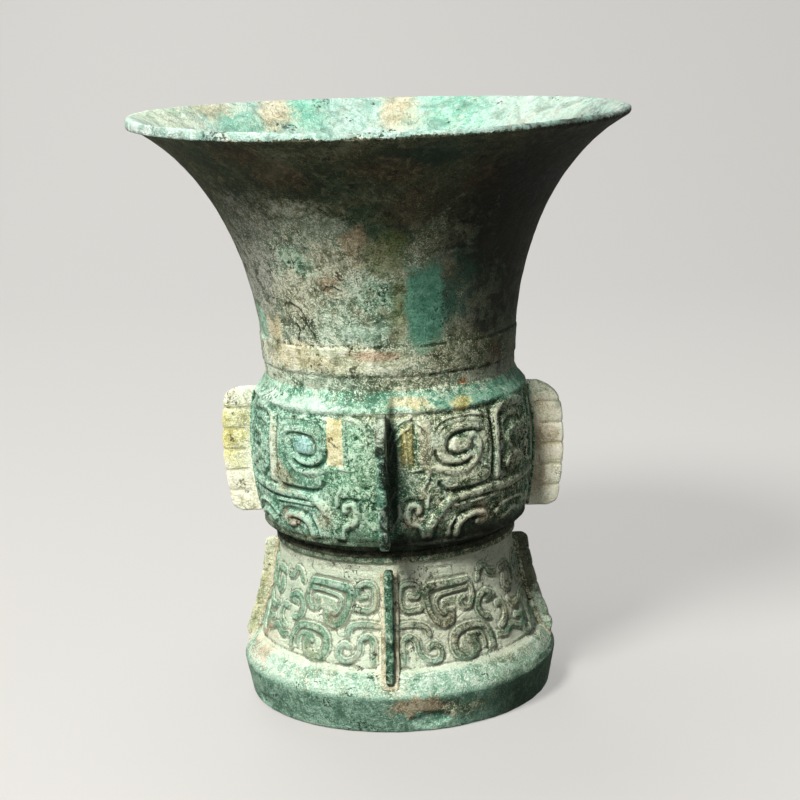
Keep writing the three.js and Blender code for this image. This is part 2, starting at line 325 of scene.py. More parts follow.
# Carving of a quarter: a stroke has a width, a level and points (u, z), u in mm round the vessel from the
# mask's nose and z the height; a plateau has its centre, its half sizes and its level
(bellyRound, footRound) = (46, 43)
bellyDesign = {
    "refRadius": bellyRound,
    "cell": 0.2,
    "width": math.pi / 2 * bellyRound,
    "heights": (58.5, 103.5),
    "offset": 1.0,
    "depth": 1.5,
    "ground": 0.3,
    "wear": 0.15,
    "moat": 0.17,
    "plateaus": [
        (27, 87.8, 11.4, 11.9, 0.6),  # panel round the eye
        (8.3, 86.8, 8.2, 13, 0.52),  # forehead
        (51.6, 88, 9.6, 11.6, 0.5),  # side panel
        (28.2, 79.6, 9.9, 3.3, 0.8),  # cheek under the eye
        (44, 69.8, 19, 1.6, 0.42),  # chin under the jaw
    ],
    "ridges": [
        (5.2, 0.9, [(14.2, 86.8), (14.2, 96.6)]),  # bar beside the nose
        (1.0, 0.85, [(3.4, 87.6), (4.4, 92), (6.2, 94.8), (9, 96.6)]),  # brows
        (1.0, 0.82, [(3, 92.8), (4.4, 96.4), (6.8, 98.6), (10, 99.6)]),
        (0.9, 0.8, [(8, 96), (8.3, 84.8), (9, 83.2), (11.6, 83.4)]),
        (1.3, 0.88, [(11.6, 83.6), (14.3, 83.6), (14.7, 80.6), (13.2, 78), (13.2, 76.6), (14.5, 74.8),
                     (14.5, 71.6)]),
        (1.0, 0.88, [(16.9, 90.6), (17.2, 94.8), (19.8, 97.8), (25, 98.9), (31, 98.8), (35.6, 98)]),  # lids
        (1.0, 0.86, [(18, 89.6), (18.3, 93.4), (20.4, 96.1), (25, 97.3), (30.6, 97.2), (35, 96)]),
        (2.6, 0.92, [(29.6, 86.6), (27.2, 85.4), (23.6, 85.2), (20.8, 86.2), (19.5, 88.4), (19.6, 91.6),
                     (21.2, 94), (24.6, 95.2), (29.2, 95.2), (33.4, 94.2)]),  # ring round the eye
        (2.9, 1.0, [(16.6, 83.9), (19.6, 82.8), (23.4, 82.1), (27.2, 82.3), (30.4, 83.8), (32.4, 86.6),
                    (32.8, 89.6), (31.6, 91.8), (29.2, 92.4)]),  # hook that ends in the eye
        (4.7, 0.97, [(24.6, 90), (28.2, 90.2)]),  # eye
        (2.8, 1.0, [(41.1, 77.8), (41.1, 94.6), (42.4, 97.9), (45.6, 99.3), (51.6, 99.5), (57.4, 98.4),
                    (60.2, 95.2), (60.2, 87)]),  # frame of the side panel
        (3.0, 1.0, [(57, 90.6), (52.8, 91), (48.8, 90.4), (46.9, 88), (47.6, 85.9)]),
        (2.5, 0.95, [(45.8, 80.6), (48, 83), (52.2, 82.6), (56, 80.2)]),
        (1.9, 0.9, [(60.4, 84), (59.8, 79.6), (62.6, 77.6)]),
        (2.3, 0.92, [(65.8, 77.6), (65.8, 97)]),
        (3.2, 1.0, [(69.5, 73.2), (56, 73.8), (44, 73.8), (31, 73.6), (24.6, 73.2), (20.8, 71.4),
                    (18.6, 68.4), (16.4, 65.6), (15.2, 61.8)]),  # jaw
        (1.0, 0.85, [(24, 70.9), (31, 71.2), (40, 71)]),
        (2.3, 1.0, [(25, 60.8), (25.6, 63.8), (27.8, 66), (31.6, 66.8), (35.2, 66.1), (36.6, 64.6),
                    (35.2, 63.4), (32.8, 64)]),  # curl under the jaw
        (1.1, 0.8, [(22, 61), (22.6, 64.4), (24.4, 66.6)]),
        (1.5, 0.9, [(41.4, 65.4), (45.4, 67.8), (51.4, 68.2), (57.4, 66.8), (60.4, 64.2)]),
        (2.1, 0.9, [(45.4, 62.8), (50.8, 64.4), (56.4, 63)]),
        (2.0, 1.0, [(12, 70.2), (11.6, 71.8), (9.9, 72.4), (8.5, 71.2), (8.4, 68), (9.4, 66.2),
                    (11.8, 65.2), (13.2, 63.8), (13.6, 61.2)]),  # fang
        (1.0, 0.75, [(2.6, 73.6), (4.6, 76.6)]),
        (1.0, 0.7, [(3, 64), (5.6, 68.4), (5.4, 72.4)]),
        (1.3, 0.85, [(62.6, 70.4), (66, 67), (66.6, 63)]),
        (6.4, 1.0, [(0, 103.7), (72.3, 103.7)]),  # plain edge above the panel
    ],
    "grooves": [
        (1.1, -0.7, [(33.6, 93), (31.4, 93.8), (28, 93.9), (24.6, 93.4), (22.4, 91.9), (21.5, 89.9),
                     (22.2, 88), (24.4, 87.1), (28, 87.4)]),  # line round the eye
        (1.3, -0.8, [(29.8, 85.2), (27.4, 84), (24, 83.7), (20.4, 84.4), (18.3, 86), (17.4, 88.6)]),
        (0.8, -0.35, [(30.6, 90.8), (30.6, 88.6), (29.8, 87)]),
        (1.0, -0.3, [(26, 90.2), (26.9, 90.4)]),
        (1.4, -0.8, [(18.3, 78.7), (20, 76.6), (24, 75.8), (31, 75.9), (35.6, 76.2), (38, 77.4),
                     (39, 79.4)]),
        (1.0, -0.6, [(39, 79.2), (39.2, 86), (39.1, 97.8)]),
        (1.2, -0.45, [(43.6, 79), (43.6, 93.5), (45.4, 96.4), (51.4, 97), (56.4, 96), (58, 92.6)]),
        (1.1, -0.55, [(45.6, 92.7), (49.4, 94), (55.4, 93.8)]),
        (1.1, -0.55, [(49.8, 87), (52.2, 85.6), (57, 85.2)]),
        (1.2, -0.5, [(45, 79), (47.4, 77.1), (50.8, 76.8), (53.4, 78.2)]),
        (1.0, -0.5, [(10.4, 84.8), (10.6, 98.4)]),
        (0.7, -0.3, [(34.9, 82), (35.1, 86)]),
        (0.7, -0.3, [(36.5, 82), (36.7, 86.6)]),
        (0.8, -0.3, [(28.4, 80.4), (29.4, 80.2)]),
        (0.7, -0.35, [(60, 72.4), (44, 72.3), (25, 71.9)]),
        (1.1, -0.6, [(23.6, 63.4), (24.4, 65.8), (26.6, 67.8), (30.2, 68.7), (34.4, 68.6), (37.6, 67.6),
                     (39.2, 65.4)]),
        (1.0, -0.5, [(33.2, 65.4), (30, 65), (28.2, 63.4), (27.6, 60.8)]),
        (1.2, -0.6, [(7, 70.6), (7.6, 73), (9.8, 74), (12.2, 73.4), (13.8, 71.6), (13.4, 68.8),
                     (11.6, 67.8)]),
        (2.2, -0.3, [(10, 63), (11.4, 62.8)]),
        (0.8, -0.3, [(5.6, 83.6), (5.4, 79), (7.6, 78.2)]),
        (1.0, -0.4, [(3.6, 77.8), (6, 77.6)]),
    ],
}

footNearFlange = [
    (1.7, 1.0, [(11, 37.4), (7, 36.9), (4.9, 37.7), (4.1, 40), (4.2, 43.4), (5.8, 45.1), (9, 45),
                (10.5, 43.2), (9.8, 41.1), (7.2, 41.3)]),  # square spiral
    (1.9, 0.95, [(3.4, 32.3), (7, 32.8), (10.8, 32.5), (12.7, 31.4), (13.2, 29.6)]),
    (1.7, 0.9, [(4.4, 21.6), (4.6, 27), (6.6, 29.2), (8.8, 27.8), (9.3, 24.4), (10.9, 22.2), (13.6, 21.4),
                (15.8, 22.4), (16.2, 24.8), (14.4, 26.5), (12.4, 25.6)]),
]
footLines = [
    (0.8, -0.35, [(3.4, 19.8), (10, 19.9), (20, 20.3), (38, 20.6)]),
    (0.6, -0.2, [(22, 21.6), (38, 21.9)]),
    (0.8, -0.22, [(4, 49.2), (24, 49.4)]),
]
footDesign = {
    "refRadius": footRound,
    "cell": 0.2,
    "width": math.pi / 2 * footRound,
    "heights": (18.2, 52.5),
    "offset": 0.6,
    "depth": 1.35,
    "ground": 0.32,
    "wear": 0.16,
    "moat": 0.2,
    "plateaus": [
        (22.5, 38.2, 5.4, 2.4, 0.62),  # cream ground inside the great scroll
        (25.4, 25, 3.6, 2.4, 0.6),
    ],
    "ridges": [
        *footNearFlange,
        *mirrored(footNearFlange, math.pi / 2 * footRound),
        (2.7, 1.0, [(28.4, 44), (22, 44.1), (15, 43.8), (12.9, 42.4), (13.3, 39.8), (14.3, 36.6),
                    (15.9, 33.6), (18.4, 31.9), (20.9, 32.8), (21.5, 35)]),  # great scroll
        (1.2, 0.95, [(27.8, 41.9), (22, 41.6), (17.6, 41), (16.2, 39.4), (16.7, 36.8), (18.3, 35),
                     (19.8, 35.6)]),
        (1.9, 0.95, [(28.8, 43.4), (30.3, 41), (30.1, 37.8), (28.3, 35.6), (26, 36), (25.2, 37.9),
                     (26.6, 39)]),
        # round scroll
        (2.6, 1.0, [(34.2, 22.8), (34.4, 26), (32.6, 28.9), (28.8, 29.7), (23.8, 29.5), (21.1, 27.6),
                    (20.7, 24.2), (22.4, 21.8), (25.6, 21.5), (28, 23.2), (27.5, 25.6), (25.8, 25.9)]),
        (1.3, 0.85, [(31.2, 23.4), (31.3, 26.2), (29.8, 27.4), (26, 27.4)]),
        (2.0, 0.95, [(39.8, 37.4), (36.4, 38.7), (33.2, 37.6), (31.9, 34.8), (33.2, 32), (36, 31)]),
        (1.5, 0.85, [(35.6, 36.1), (38.4, 36.5)]),
        (2.0, 0.95, [(40.8, 34.1), (43.2, 33.7), (44.2, 31), (42.6, 28.4), (40.2, 27.2)]),
        (1.9, 0.9, [(37.8, 25.1), (41.4, 24.6), (44.8, 26.4), (49.2, 24.6), (53.2, 24.4)]),
        (2.1, 0.9, [(33.6, 43.4), (35, 46.2), (37.4, 46.6), (39.2, 44.2), (42.6, 43.4)]),
        (2.1, 0.95, [(46.4, 43.7), (51, 43.9), (53.4, 41.4), (52.6, 38.2), (49.4, 37), (46.8, 38.7),
                     (47.7, 41)]),
        (1.9, 0.92, [(47.6, 33.8), (49.8, 31.4), (53, 31.2), (54.4, 28.6), (52, 27.2), (49.2, 28)]),
    ],
    "grooves": [
        (0.9, -0.6, [(28.2, 42.9), (17.4, 42.3), (15.2, 41), (14.9, 38.6), (16, 35.8), (17.4, 34.2)]),
        (1.0, -0.5, [(28, 40.7), (22, 40.4), (18.6, 39.9), (17.8, 38)]),
        (0.8, -0.45, [(33, 23.4), (33, 26.2), (31, 28.2), (26, 28.4), (23, 27.2), (22.3, 25)]),
        (1.2, -0.25, [(12.2, 46), (28, 46.2)]),
        (1.0, -0.3, [(6.2, 27.6), (7.4, 27)]),
        *footLines,
        *mirrored(footLines, math.pi / 2 * footRound),
    ],
}


def carve(piece, design, radius, wander):
    carving = drawCarving(design)
    points = readPoints(piece)
    r = np.hypot(points[:, 0], points[:, 1])
    outside = (r > radius(points[:, 2]) - 1.2) * 1.0
    turn = turnFromFront(points)
    fold = np.abs(turn + design["offset"] / design["refRadius"])  # the masks sit a little to the left
    fold = np.abs(np.where(fold > math.pi / 2, math.pi - fold, fold))
    u = fold * design["refRadius"] + lumps(points, 11, wander) * castWear["strayAcross"]
    z = points[:, 2] + lumps(points, 12, wander + 1) * castWear["strayUp"]
    relief = sampleMap(carving["field"], carving, u, z)
    crest = sampleMap(carving["crest"], carving, u, z)
    (low, high) = design["heights"]
    inside = smoothStep(low, low + 1, points[:, 2]) * smoothStep(high, high - 1.2, points[:, 2]) * outside
    skin = castSkin(points, wander + 3)
    kept = 1 - castWear["worn"] * (lumps(points, 7, wander + 2) + 1) - castWear["wornOnBumps"] * skin
    drop = design["depth"] * (relief * kept - 1) * inside
    points += readNormals(piece) * (skin * castWear["skin"] - castWear["shrink"])[:, None]
    away = np.column_stack([np.sin(turn), -np.cos(turn), np.zeros(len(turn))])
    points += away * drop[:, None]
    writePoints(piece, points)
    writeMask(piece, "relief", relief * inside)
    writeMask(piece, "crest", crest * inside)
    writeMask(piece, "carved", inside)
    writeMask(piece, "skin", skin)


def wallPoints(wallAt, heights, inset=0):
    return [(float(wallAt(z)) - inset, z) for z in heights]


def makeBelly():
    s = bellyShape
    under = [(s["waistRadius"] + 0.25 * i, s["sideBase"] - s["undercut"] + 0.05 * i) for i in range(1, 11)]
    lip = [(s["lowRadius"] - s["lipRound"] * (1 - math.sin(a)), s["sideBase"] - s["lipRound"] * math.cos(a))
           for a in steps(0.15, math.pi / 2, 7)]
    side = wallPoints(bellyAt, steps(s["sideBase"] + 0.3, s["sideTop"] - 0.4, s["rows"]))
    shoulder = wallPoints(bellyAt, steps(s["sideTop"] + 0.2, collarTop - 0.1, 7))
    shelfTop = spigotBase - clearance
    inner = wallPoints(bellyAt, steps(shelfTop - 6.7, s["sideBase"] + 5.3, 6), s["wall"])
    recess = s["lowRadius"] - s["wall"]
    floorSeat = s["sideBase"] + 0.1
    outline = [(s["waistRadius"], bellyBase), (s["waistRadius"], bellyBase + 1.4), *under, *lip, *side,
               *shoulder, (collarRadius, collarTop), (collarRadius, shelfTop), (neckBore, shelfTop),
               (neckBore, shelfTop - 1.7), *inner, (recess, s["sideBase"] + 3), (recess, floorSeat),
               (s["baseBore"], floorSeat), (s["baseBore"], bellyBase), (s["waistRadius"], bellyBase)]
    piece = turnOnLathe("bellyCasting", outline, s["columns"])
    carve(piece, bellyDesign, bellyAt, 31)
    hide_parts("belly")
    return piece


def makeFoot():
    s = footShape
    (standing, bend) = (s["standingRadius"], s["edgeRound"])
    edge = [(standing - bend * (1 - math.sin(a)), bend - bend * math.cos(a))
            for a in steps(0, math.pi / 2, 5)]
    band = [(standing + (s["bandRadius"] - standing) * t, bend + (s["bandTop"] - 1.7) * t)
            for t in steps(0.05, 1, 15)]
    brow = [(s["bandRadius"] - 0.35, s["bandTop"] - 0.1), (s["bandRadius"] - 0.8, s["bandTop"] + 0.7)]
    ledge = wallPoints(footAt, steps(s["bandTop"] + 1.2, s["ledgeTop"] - 0.3, 12))
    flare = wallPoints(footAt, steps(s["ledgeTop"], footTop - 0.4, s["rows"]))
    inner = wallPoints(footAt, steps(footTop - 4, s["ledgeTop"], 8), s["wall"])
    spigotTop = footTop + s["spigotRise"]
    outline = [*edge, *band, *brow, *ledge, *flare, (s["topRadius"] - 0.3, footTop), (s["spigot"], footTop),
               (s["spigot"], spigotTop), (s["spigotBore"], spigotTop), (s["spigotBore"], footTop - 3),
               *inner, (s["bandRadius"] - 3.6, s["bandTop"] - 0.6), (standing - 3.7, 0), edge[0]]
    piece = turnOnLathe("footCasting", outline, s["columns"])
    carve(piece, footDesign, footAt, 57)
    chipTheBand(piece)
    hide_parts("foot")
    return piece


def chipTheBand(piece):
    points = readPoints(piece)
    turn = np.degrees(turnFromFront(points))
    for (at, height, halfTurn, halfHeight, depth) in footShape["chips"]:
        far = np.hypot((turn - at) / halfTurn, (points[:, 2] - height) / halfHeight)
        bite = smoothStep(1.1, 0.75, far + lumps(points, 1.6, 91) * 0.22) * depth
        out = np.hypot(points[:, 0], points[:, 1]) > footShape["standingRadius"] - 0.8
        scale = 1 - bite * out / footShape["bandRadius"]
        points[:, 0] *= scale
        points[:, 1] *= scale
    writePoints(piece, points)


# Neck: a trumpet with two raised lines
neckShape = {
    "handle": 31.6,  # pull of the curve at the collar and at the mouth
    "mouthHandle": 31.5,
    "tilt": math.radians(29),
    "lip": 2.6,
    "wall": 3,
    "lines": (6.1, 15.6),  # heights above the collar
    "lineDepth": 0.38,
    "bandRise": 0.5,
    "rows": 156,
    "columns": 420,
    "skin": 0.2,
    "waver": 0.5,  # how far the lines leave their level
    "droop": 1.3,  # the lip is thickest on the left
    "crustDown": (1.3, 1.5),  # how far the mouth's crust hangs over the lip: all round, and more on the left
    "mouthLow": 0.65,  # the mouth is out of true: lower, tilted, waved and pushed to the left
    "mouthTilt": 0.8,
    "mouthWave": 0.6,
    "mouthShift": 0.7,
}


def trumpetCurve(count):
    s = neckShape
    centre = np.array([mouthRadius - s["lip"] / 2, mouthTop - s["lip"] / 2])
    along = np.array([math.cos(s["tilt"]), math.sin(s["tilt"])])
    out = np.array([math.sin(s["tilt"]), -math.cos(s["tilt"])])
    end = centre + out * s["lip"] / 2
    p = [np.array([neckRadius, collarTop]), np.array([neckRadius, collarTop + s["handle"]]),
         end - along * s["mouthHandle"], end]
    t = np.linspace(0, 1, count + 1)[:, None] ** 1.5  # closest at the bottom, where the lines are
    curve = (1 - t) ** 3 * p[0] + 3 * t * (1 - t) ** 2 * p[1] + 3 * t * t * (1 - t) * p[2] + t ** 3 * p[3]
    lip = [tuple(centre + out * s["lip"] / 2 * math.cos(a) + along * s["lip"] / 2 * math.sin(a))
           for a in steps(0, math.pi, 10)]
    return (curve, lip)


def makeNeck():
    s = neckShape
    (curve, lip) = trumpetCurve(s["rows"])
    tangent = np.gradient(curve, axis=0)
    tangent /= np.linalg.norm(tangent, axis=1)[:, None]
    out = np.column_stack([tangent[:, 1], -tangent[:, 0]])
    height = curve[:, 1] - collarTop
    (low, high) = s["lines"]
    band = smoothStep(low - 1.6, low + 0.6, height) * smoothStep(high + 1.6, high - 0.6, height)
    cut = sum(np.exp(-((height - line) / 0.55) ** 2) for line in s["lines"])
    outer = curve + out * (band * s["bandRise"] - cut * s["lineDepth"])[:, None]
    t = np.linspace(0, 1, len(curve))
    inner = (curve - out * (s["wall"] + t * (s["lip"] - s["wall"]))[:, None])[::-3]
    outline = [(neckRadius, spigotBase), (neckRadius, collarTop - 4), *map(tuple, outer[:-1]), *lip,
               *map(tuple, inner[1:]), (neckBore, collarTop - 4), (neckBore, spigotBase),
               (neckRadius, spigotBase)]
    piece = turnOnLathe("neckCasting", outline, s["columns"])
    points = readPoints(piece)
    skin = castSkin(points, 71)
    outer = np.interp(points[:, 2], curve[:, 1], curve[:, 0])
    inside = np.hypot(points[:, 0], points[:, 1]) < outer - 1.2
    turn = turnFromFront(points)
    (allRound, onLeft) = s["crustDown"]
    crust = allRound + onLeft * smoothStep(0.2, 1, -np.sin(turn)) + skin * 0.4 + lumps(points, 0.9, 77) * 0.4
    overLip = smoothStep(-0.8, 0.8, points[:, 2] - mouthTop + crust)
    writeMask(piece, "mouth", np.maximum(inside, overLip))
    fromLine = [points[:, 2] - collarTop - line + 0.25 * skin for line in s["lines"]]
    broken = 0.5 + 0.25 * np.sin(turn) + 0.4 * lumps(points, 8, 76) + 0.3 * lumps(points, 2, 78)
    writeMask(piece, "crest", -sum(np.exp(-(far / 0.6) ** 2) for far in fromLine) * (1 - inside) * broken)
    writeMask(piece, "skin", skin)
    rough = overLip * (1 - inside) * lumps(points, 1.1, 75) * s["skin"]
    points += readNormals(piece) * (skin * s["skin"] + rough)[:, None]
    z = points[:, 2]
    rolled = smoothStep(mouthTop - 3.4, mouthTop - 1.6, z) * smoothStep(mouthTop - 0.2, mouthTop - 1.2, z)
    points[:, 2] += smoothStep(collarTop + 24, collarTop + 17, z) * lumps(points, 13, 79) * s["waver"]
    points[:, 2] -= rolled * (1 - inside) * smoothStep(0.3, -1, np.sin(turn)) * s["droop"]
    high = smoothStep(collarTop + 20, mouthTop, points[:, 2])
    points[:, 2] -= high * (s["mouthLow"] + s["mouthTilt"] * np.sin(turn) + s["mouthWave"] * np.cos(2 * turn))
    points[:, 0] -= high * s["mouthShift"]
    writePoints(piece, points)
    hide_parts("neck")
    return piece


def roughen(piece, skin, height):
    writeMask(piece, "skin", skin)
    writePoints(piece, readPoints(piece) + readNormals(piece) * (skin * height)[:, None])


def makeFloor():
    s = bellyShape
    recess = s["lowRadius"] - s["wall"] - clearance
    base = s["sideBase"] + 0.1 + clearance
    (thick, sag, skinHeight) = (2.6, 2, 0.2)
    sunk = s["baseBore"] - 2 * clearance
    dish = [(r, base - sag * (1 - (r / sunk) ** 2)) for r in steps(0, sunk, 24)]
    top = [(r, z + thick) for (r, z) in reversed(dish)]
    outline = [*dish, (recess, base), (recess, base + thick), *top]
    piece = turnOnLathe("bowlFloor", outline, 160)
    roughen(piece, castSkin(readPoints(piece), 83), skinHeight)
    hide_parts("bowl_floor")
    return piece


def makeRing(name, node, corners, seed):
    outline = []
    for ((r0, z0), (r1, z1)) in zip(corners, corners[1:] + corners[:1]):
        outline += [(r0 + (r1 - r0) * t, z0 + (z1 - z0) * t) for t in (0, 0.25, 0.5, 0.75)]
    piece = turnOnLathe(name, outline + outline[:1], 300)
    roughen(piece, castSkin(readPoints(piece), seed), castWear["looseSkin"])
    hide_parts(node)
    return piece


# Flanges: a plate traced in outline, thickened, its teeth parted and its edges worn
flangeKinds = {
    "belly": {
        "wallAt": bellyAt, "thickness": 2.8, "reach": 9.4, "top": bellyShape["sideTop"] - 0.4,
        "bottom": bellyShape["sideBase"] - 1, "topCorner": 4.6, "wornCorner": 8.6, "tipCorner": 2.6,
        "teeth": 6, "notch": 0.24, "root": 1.2, "bead": 0.5, "proud": 0.3,
    },
    "foot": {
        "wallAt": footAt, "thickness": 2.4, "reach": 3.8, "top": footTop - 4,
        "bottom": footShape["ledgeTop"] - 3.2, "topCorner": 1.6, "tipCorner": 0.6,
        "teeth": 6, "notch": 0.1, "root": 1.2, "bead": 0.95, "proud": 0.6,
    },
}
castEdge = {"bevel": 0.45, "voxel": 0.3, "pillow": 0.18, "rimPillow": 0.15}  # a pillow is a tooth's swelling


def roundedOff(corner, into):  # how far a round corner draws an edge back, a way "into" the corner
    into = np.clip(into, 0, corner)
    return corner - np.sqrt(corner ** 2 - into ** 2)


def flangeEdge(kind, z):
    s = flangeKinds[kind]
    wall = bellyAt(z) if kind == "belly" else footAt(np.maximum(z, footShape["ledgeTop"]))
    top = roundedOff(s["topCorner"], z - s["top"] + s["topCorner"])
    return wall + s["reach"] - top - roundedOff(s["tipCorner"], s["bottom"] + s["tipCorner"] - z)


def softenSkin(piece, rounds):
    remesh = piece.modifiers.new("skin", "REMESH")
    (remesh.mode, remesh.voxel_size) = ("VOXEL", castEdge["voxel"] * mm)
    soften = piece.modifiers.new("soften", "SMOOTH")
    (soften.factor, soften.iterations) = (0.5, rounds)
    applyModifiers(piece)


def makeFlange(kind):
    s = flangeKinds[kind]
    wallAt = s["wallAt"]
    heights = steps(s["bottom"], s["top"], 36)
    outer = [(float(flangeEdge(kind, z)), z) for z in heights]
    inner = wallPoints(wallAt, reversed(heights), s["root"])
    piece = traceOutline(kind + "Flange", outer + inner)
    bpy.ops.mesh.select_all(action="SELECT")
    bpy.ops.mesh.edge_face_add()
    bpy.ops.transform.translate(value=(0, -s["thickness"] / 2 * mm, 0))
    bpy.ops.mesh.extrude_region_move(TRANSFORM_OT_translate={"value": (0, s["thickness"] * mm, 0)})
    tidyShell()
    objectMode()
    bevel = piece.modifiers.new("worn", "BEVEL")
    (bevel.width, bevel.segments, bevel.limit_method) = (castEdge["bevel"] * mm, 2, "ANGLE")
    softenSkin(piece, 4)
    points = readPoints(piece)
    pitch = (s["top"] - s["bottom"]) / s["teeth"]
    tooth = (points[:, 2] - s["bottom"]) / pitch
    nearest = np.abs(tooth - np.round(tooth)) * pitch
    between = (np.round(tooth) > 0) & (np.round(tooth) < s["teeth"])
    groove = smoothStep(0.85, 0.1, nearest) * between
    beyond = points[:, 0] - wallAt(points[:, 2])
    free = smoothStep(1.4, 2.4, beyond)
    pillow = np.cos((tooth - np.floor(tooth) - 0.5) * math.pi)
    side = np.sign(points[:, 1]) * smoothStep(0.3, 1, np.abs(points[:, 1]))
    points[:, 1] += side * free * (pillow * castEdge["pillow"] - groove * s["notch"])
    rim = smoothStep(s["reach"] - 1.6, s["reach"] - 0.3, beyond)
    points[:, 0] -= rim * (groove * s["notch"] * 1.3 - pillow * castEdge["rimPillow"])
    writePoints(piece, points)
    writeMask(piece, "crest", 0.5 * rim - 0.8 * groove * free)
    return piece


sides = {"Front": -math.pi / 2, "Right": 0, "Back": math.pi / 2, "Left": math.pi}


def placeCopies(kind, master, replacedNode, seed, worn=None):
    copies = {}
    for (index, (side, turn)) in enumerate(sides.items()):
        piece = master.copy()
        piece.data = master.data.copy()
        piece.name = kind + side
        piece.data.name = piece.name
        bpy.context.scene.collection.objects.link(piece)
        points = readPoints(piece)
        if side == "Right" and worn:
            (top, old, new) = (worn["top"], worn["topCorner"], worn["wornCorner"])
            less = roundedOff(new, points[:, 2] - top + new) - roundedOff(old, points[:, 2] - top + old)
            points[:, 0] -= less * smoothStep(0, worn["reach"], points[:, 0] - bellyAt(points[:, 2]))
        skin = castSkin(points + 40 * index, seed + index)
        writeMask(piece, "skin", skin)
        points += readNormals(piece) * (skin * castWear["looseSkin"])[:, None]
        (x, y, z) = points.T
        (c, s) = (math.cos(turn), math.sin(turn))
        writePoints(piece, np.column_stack([x * c - y * s, x * s + y * c, z]))
        chooseOnly(piece)
        bpy.ops.object.shade_smooth()
        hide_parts(replacedNode + side.lower())
        copies[side] = piece
    bpy.data.objects.remove(master)
    return copies


def makeBead(kind):  # filler down one side of a flange's root, round its end and back up the other side
    s = flangeKinds[kind]
    across = s["thickness"] / 2 + s["bead"] - 0.2
    (low, high) = (s["bottom"] + 0.6, s["top"] - 0.8)
    (start, end, bow) = (low, high - 0.8, 0.5) if kind == "belly" else (high, low - 1.4, -0.5)
    out = [(float(s["wallAt"](z)) + s["proud"] - s["bead"], -across, z) for z in steps(start, end, 30)]
    (endRadius, _, endHeight) = out[-1]
    bend = [(endRadius, -across * math.cos(a), endHeight + bow * math.sin(a))
            for a in steps(0.3, math.pi - 0.3, 6)]
    route = out + bend + [(r, across, z) for (r, _, z) in reversed(out)]
    deselectEverything()
    bpy.ops.curve.primitive_nurbs_path_add(radius=mm, location=(0, 0, 0))
    piece = bpy.context.object
    piece.name = kind + "Bead"
    data = piece.data
    data.splines.clear()
    spline = data.splines.new("POLY")
    spline.points.add(len(route) - 1)
    for (point, (x, y, z)) in zip(spline.points, route):
        point.co = (x * mm, y * mm, z * mm, 1)
    (data.dimensions, data.bevel_depth, data.bevel_resolution) = ("3D", s["bead"] * mm, 3)
    data.use_fill_caps = True
    chooseOnly(piece)
    bpy.ops.object.convert(target="MESH")
    piece = bpy.context.object
    softenSkin(piece, 2)
    return piece


belly = makeBelly()
foot = makeFoot()
print("belly and foot turned and carved")
neck = makeNeck()
bowlFloor = makeFloor()
print("neck and floor turned")
bellyFlanges = placeCopies("bellyFlange", makeFlange("belly"), "belly_flange_", 101, flangeKinds["belly"])
footFlanges = placeCopies("footFlange", makeFlange("foot"), "foot_flange_", 111)
bellyBeads = placeCopies("bellyBead", makeBead("belly"), "belly_flange_bead_", 121)
footBeads = placeCopies("footBead", makeBead("foot"), "foot_flange_bead_", 131)
print("flanges and their filler set in")
rootRing = makeRing("neckRootRing", "neck_braze_ring", [
    (collarRadius - 0.6, collarTop - 2.4), (collarRadius + 1.9, collarTop - 2.7),
    (collarRadius + 0.6, collarTop + 0.1), (collarRadius - 0.6, collarTop + 2.6)], 141)
floorEdge = bellyShape["lowRadius"] - bellyShape["wall"] - clearance
floorTop = bellyShape["sideBase"] + 3
floorRing = makeRing("floorRing", "floor_braze_ring", [
    (floorEdge - 2.2, floorTop + 0.1), (floorEdge, floorTop), (floorEdge + 0.3, floorTop + 2.4)], 145)
waistRadius = bellyShape["waistRadius"]
waistRing = makeRing("waistRing", "waist_braze_ring", [
    (waistRadius, footTop), (footShape["topRadius"], footTop), (waistRadius, footTop + 1.6)], 149)
print("solder rings laid")


# Materials
def tint(red, green, blue):  # 0 to 255, as seen
    seen = (red / 255, green / 255, blue / 255)
    return tuple(c / 12.92 if c <= 0.04045 else ((c + 0.055) / 1.055) ** 2.4 for c in seen) + (1,)


def addNode(tree, kind, **values):
    node = tree.nodes.new(kind)
    for (key, value) in values.items():
        setattr(node, key, value)
    return node


def feed(tree, socket, value):
    if isinstance(value, bpy.types.NodeSocket):
        tree.links.new(value, socket)
    elif value is not None:
        socket.default_value = value


def feedAll(tree, sockets, values):
    for (key, value) in values.items():
        feed(tree, sockets[key], value)


def mathNode(tree, operation, a, b=None, c=None):
    node = addNode(tree, "ShaderNodeMath", operation=operation)
    for (socket, value) in zip(node.inputs, (a, b, c)):
        feed(tree, socket, value)
    return node.outputs[0]


def product(tree, a, b):
    return mathNode(tree, "MULTIPLY", a, b)


def sumOf(tree, parts):  # each part is a field, how much of it counts, and the value taken from it first
    total = 0.0
    for (field, share, middle) in parts:
        total = mathNode(tree, "MULTIPLY_ADD", mathNode(tree, "SUBTRACT", field, middle), share, total)
    return total


def vectorNode(tree, operation, a, b=None):
    node = addNode(tree, "ShaderNodeVectorMath", operation=operation)
    feed(tree, node.inputs[0], a)
    feed(tree, node.inputs[1], b)
    return node.outputs["Value" if operation in ("LENGTH", "DOT_PRODUCT") else "Vector"]


def rangeNode(tree, value, low, high, toLow=0.0, toHigh=1.0):
    node = addNode(tree, "ShaderNodeMapRange", interpolation_type="SMOOTHSTEP")
    feedAll(tree, node.inputs, {
        "Value": value, "From Min": low, "From Max": high, "To Min": toLow, "To Max": toHigh})
    return node.outputs["Result"]


def noiseNode(tree, vector, scale, detail=3.0, roughness=0.6, distortion=0.0, output="Fac"):
    node = addNode(tree, "ShaderNodeTexNoise")
    feedAll(tree, node.inputs, {
        "Vector": vector, "Scale": scale, "Detail": detail, "Roughness": roughness, "Distortion": distortion})
    return node.outputs[output]


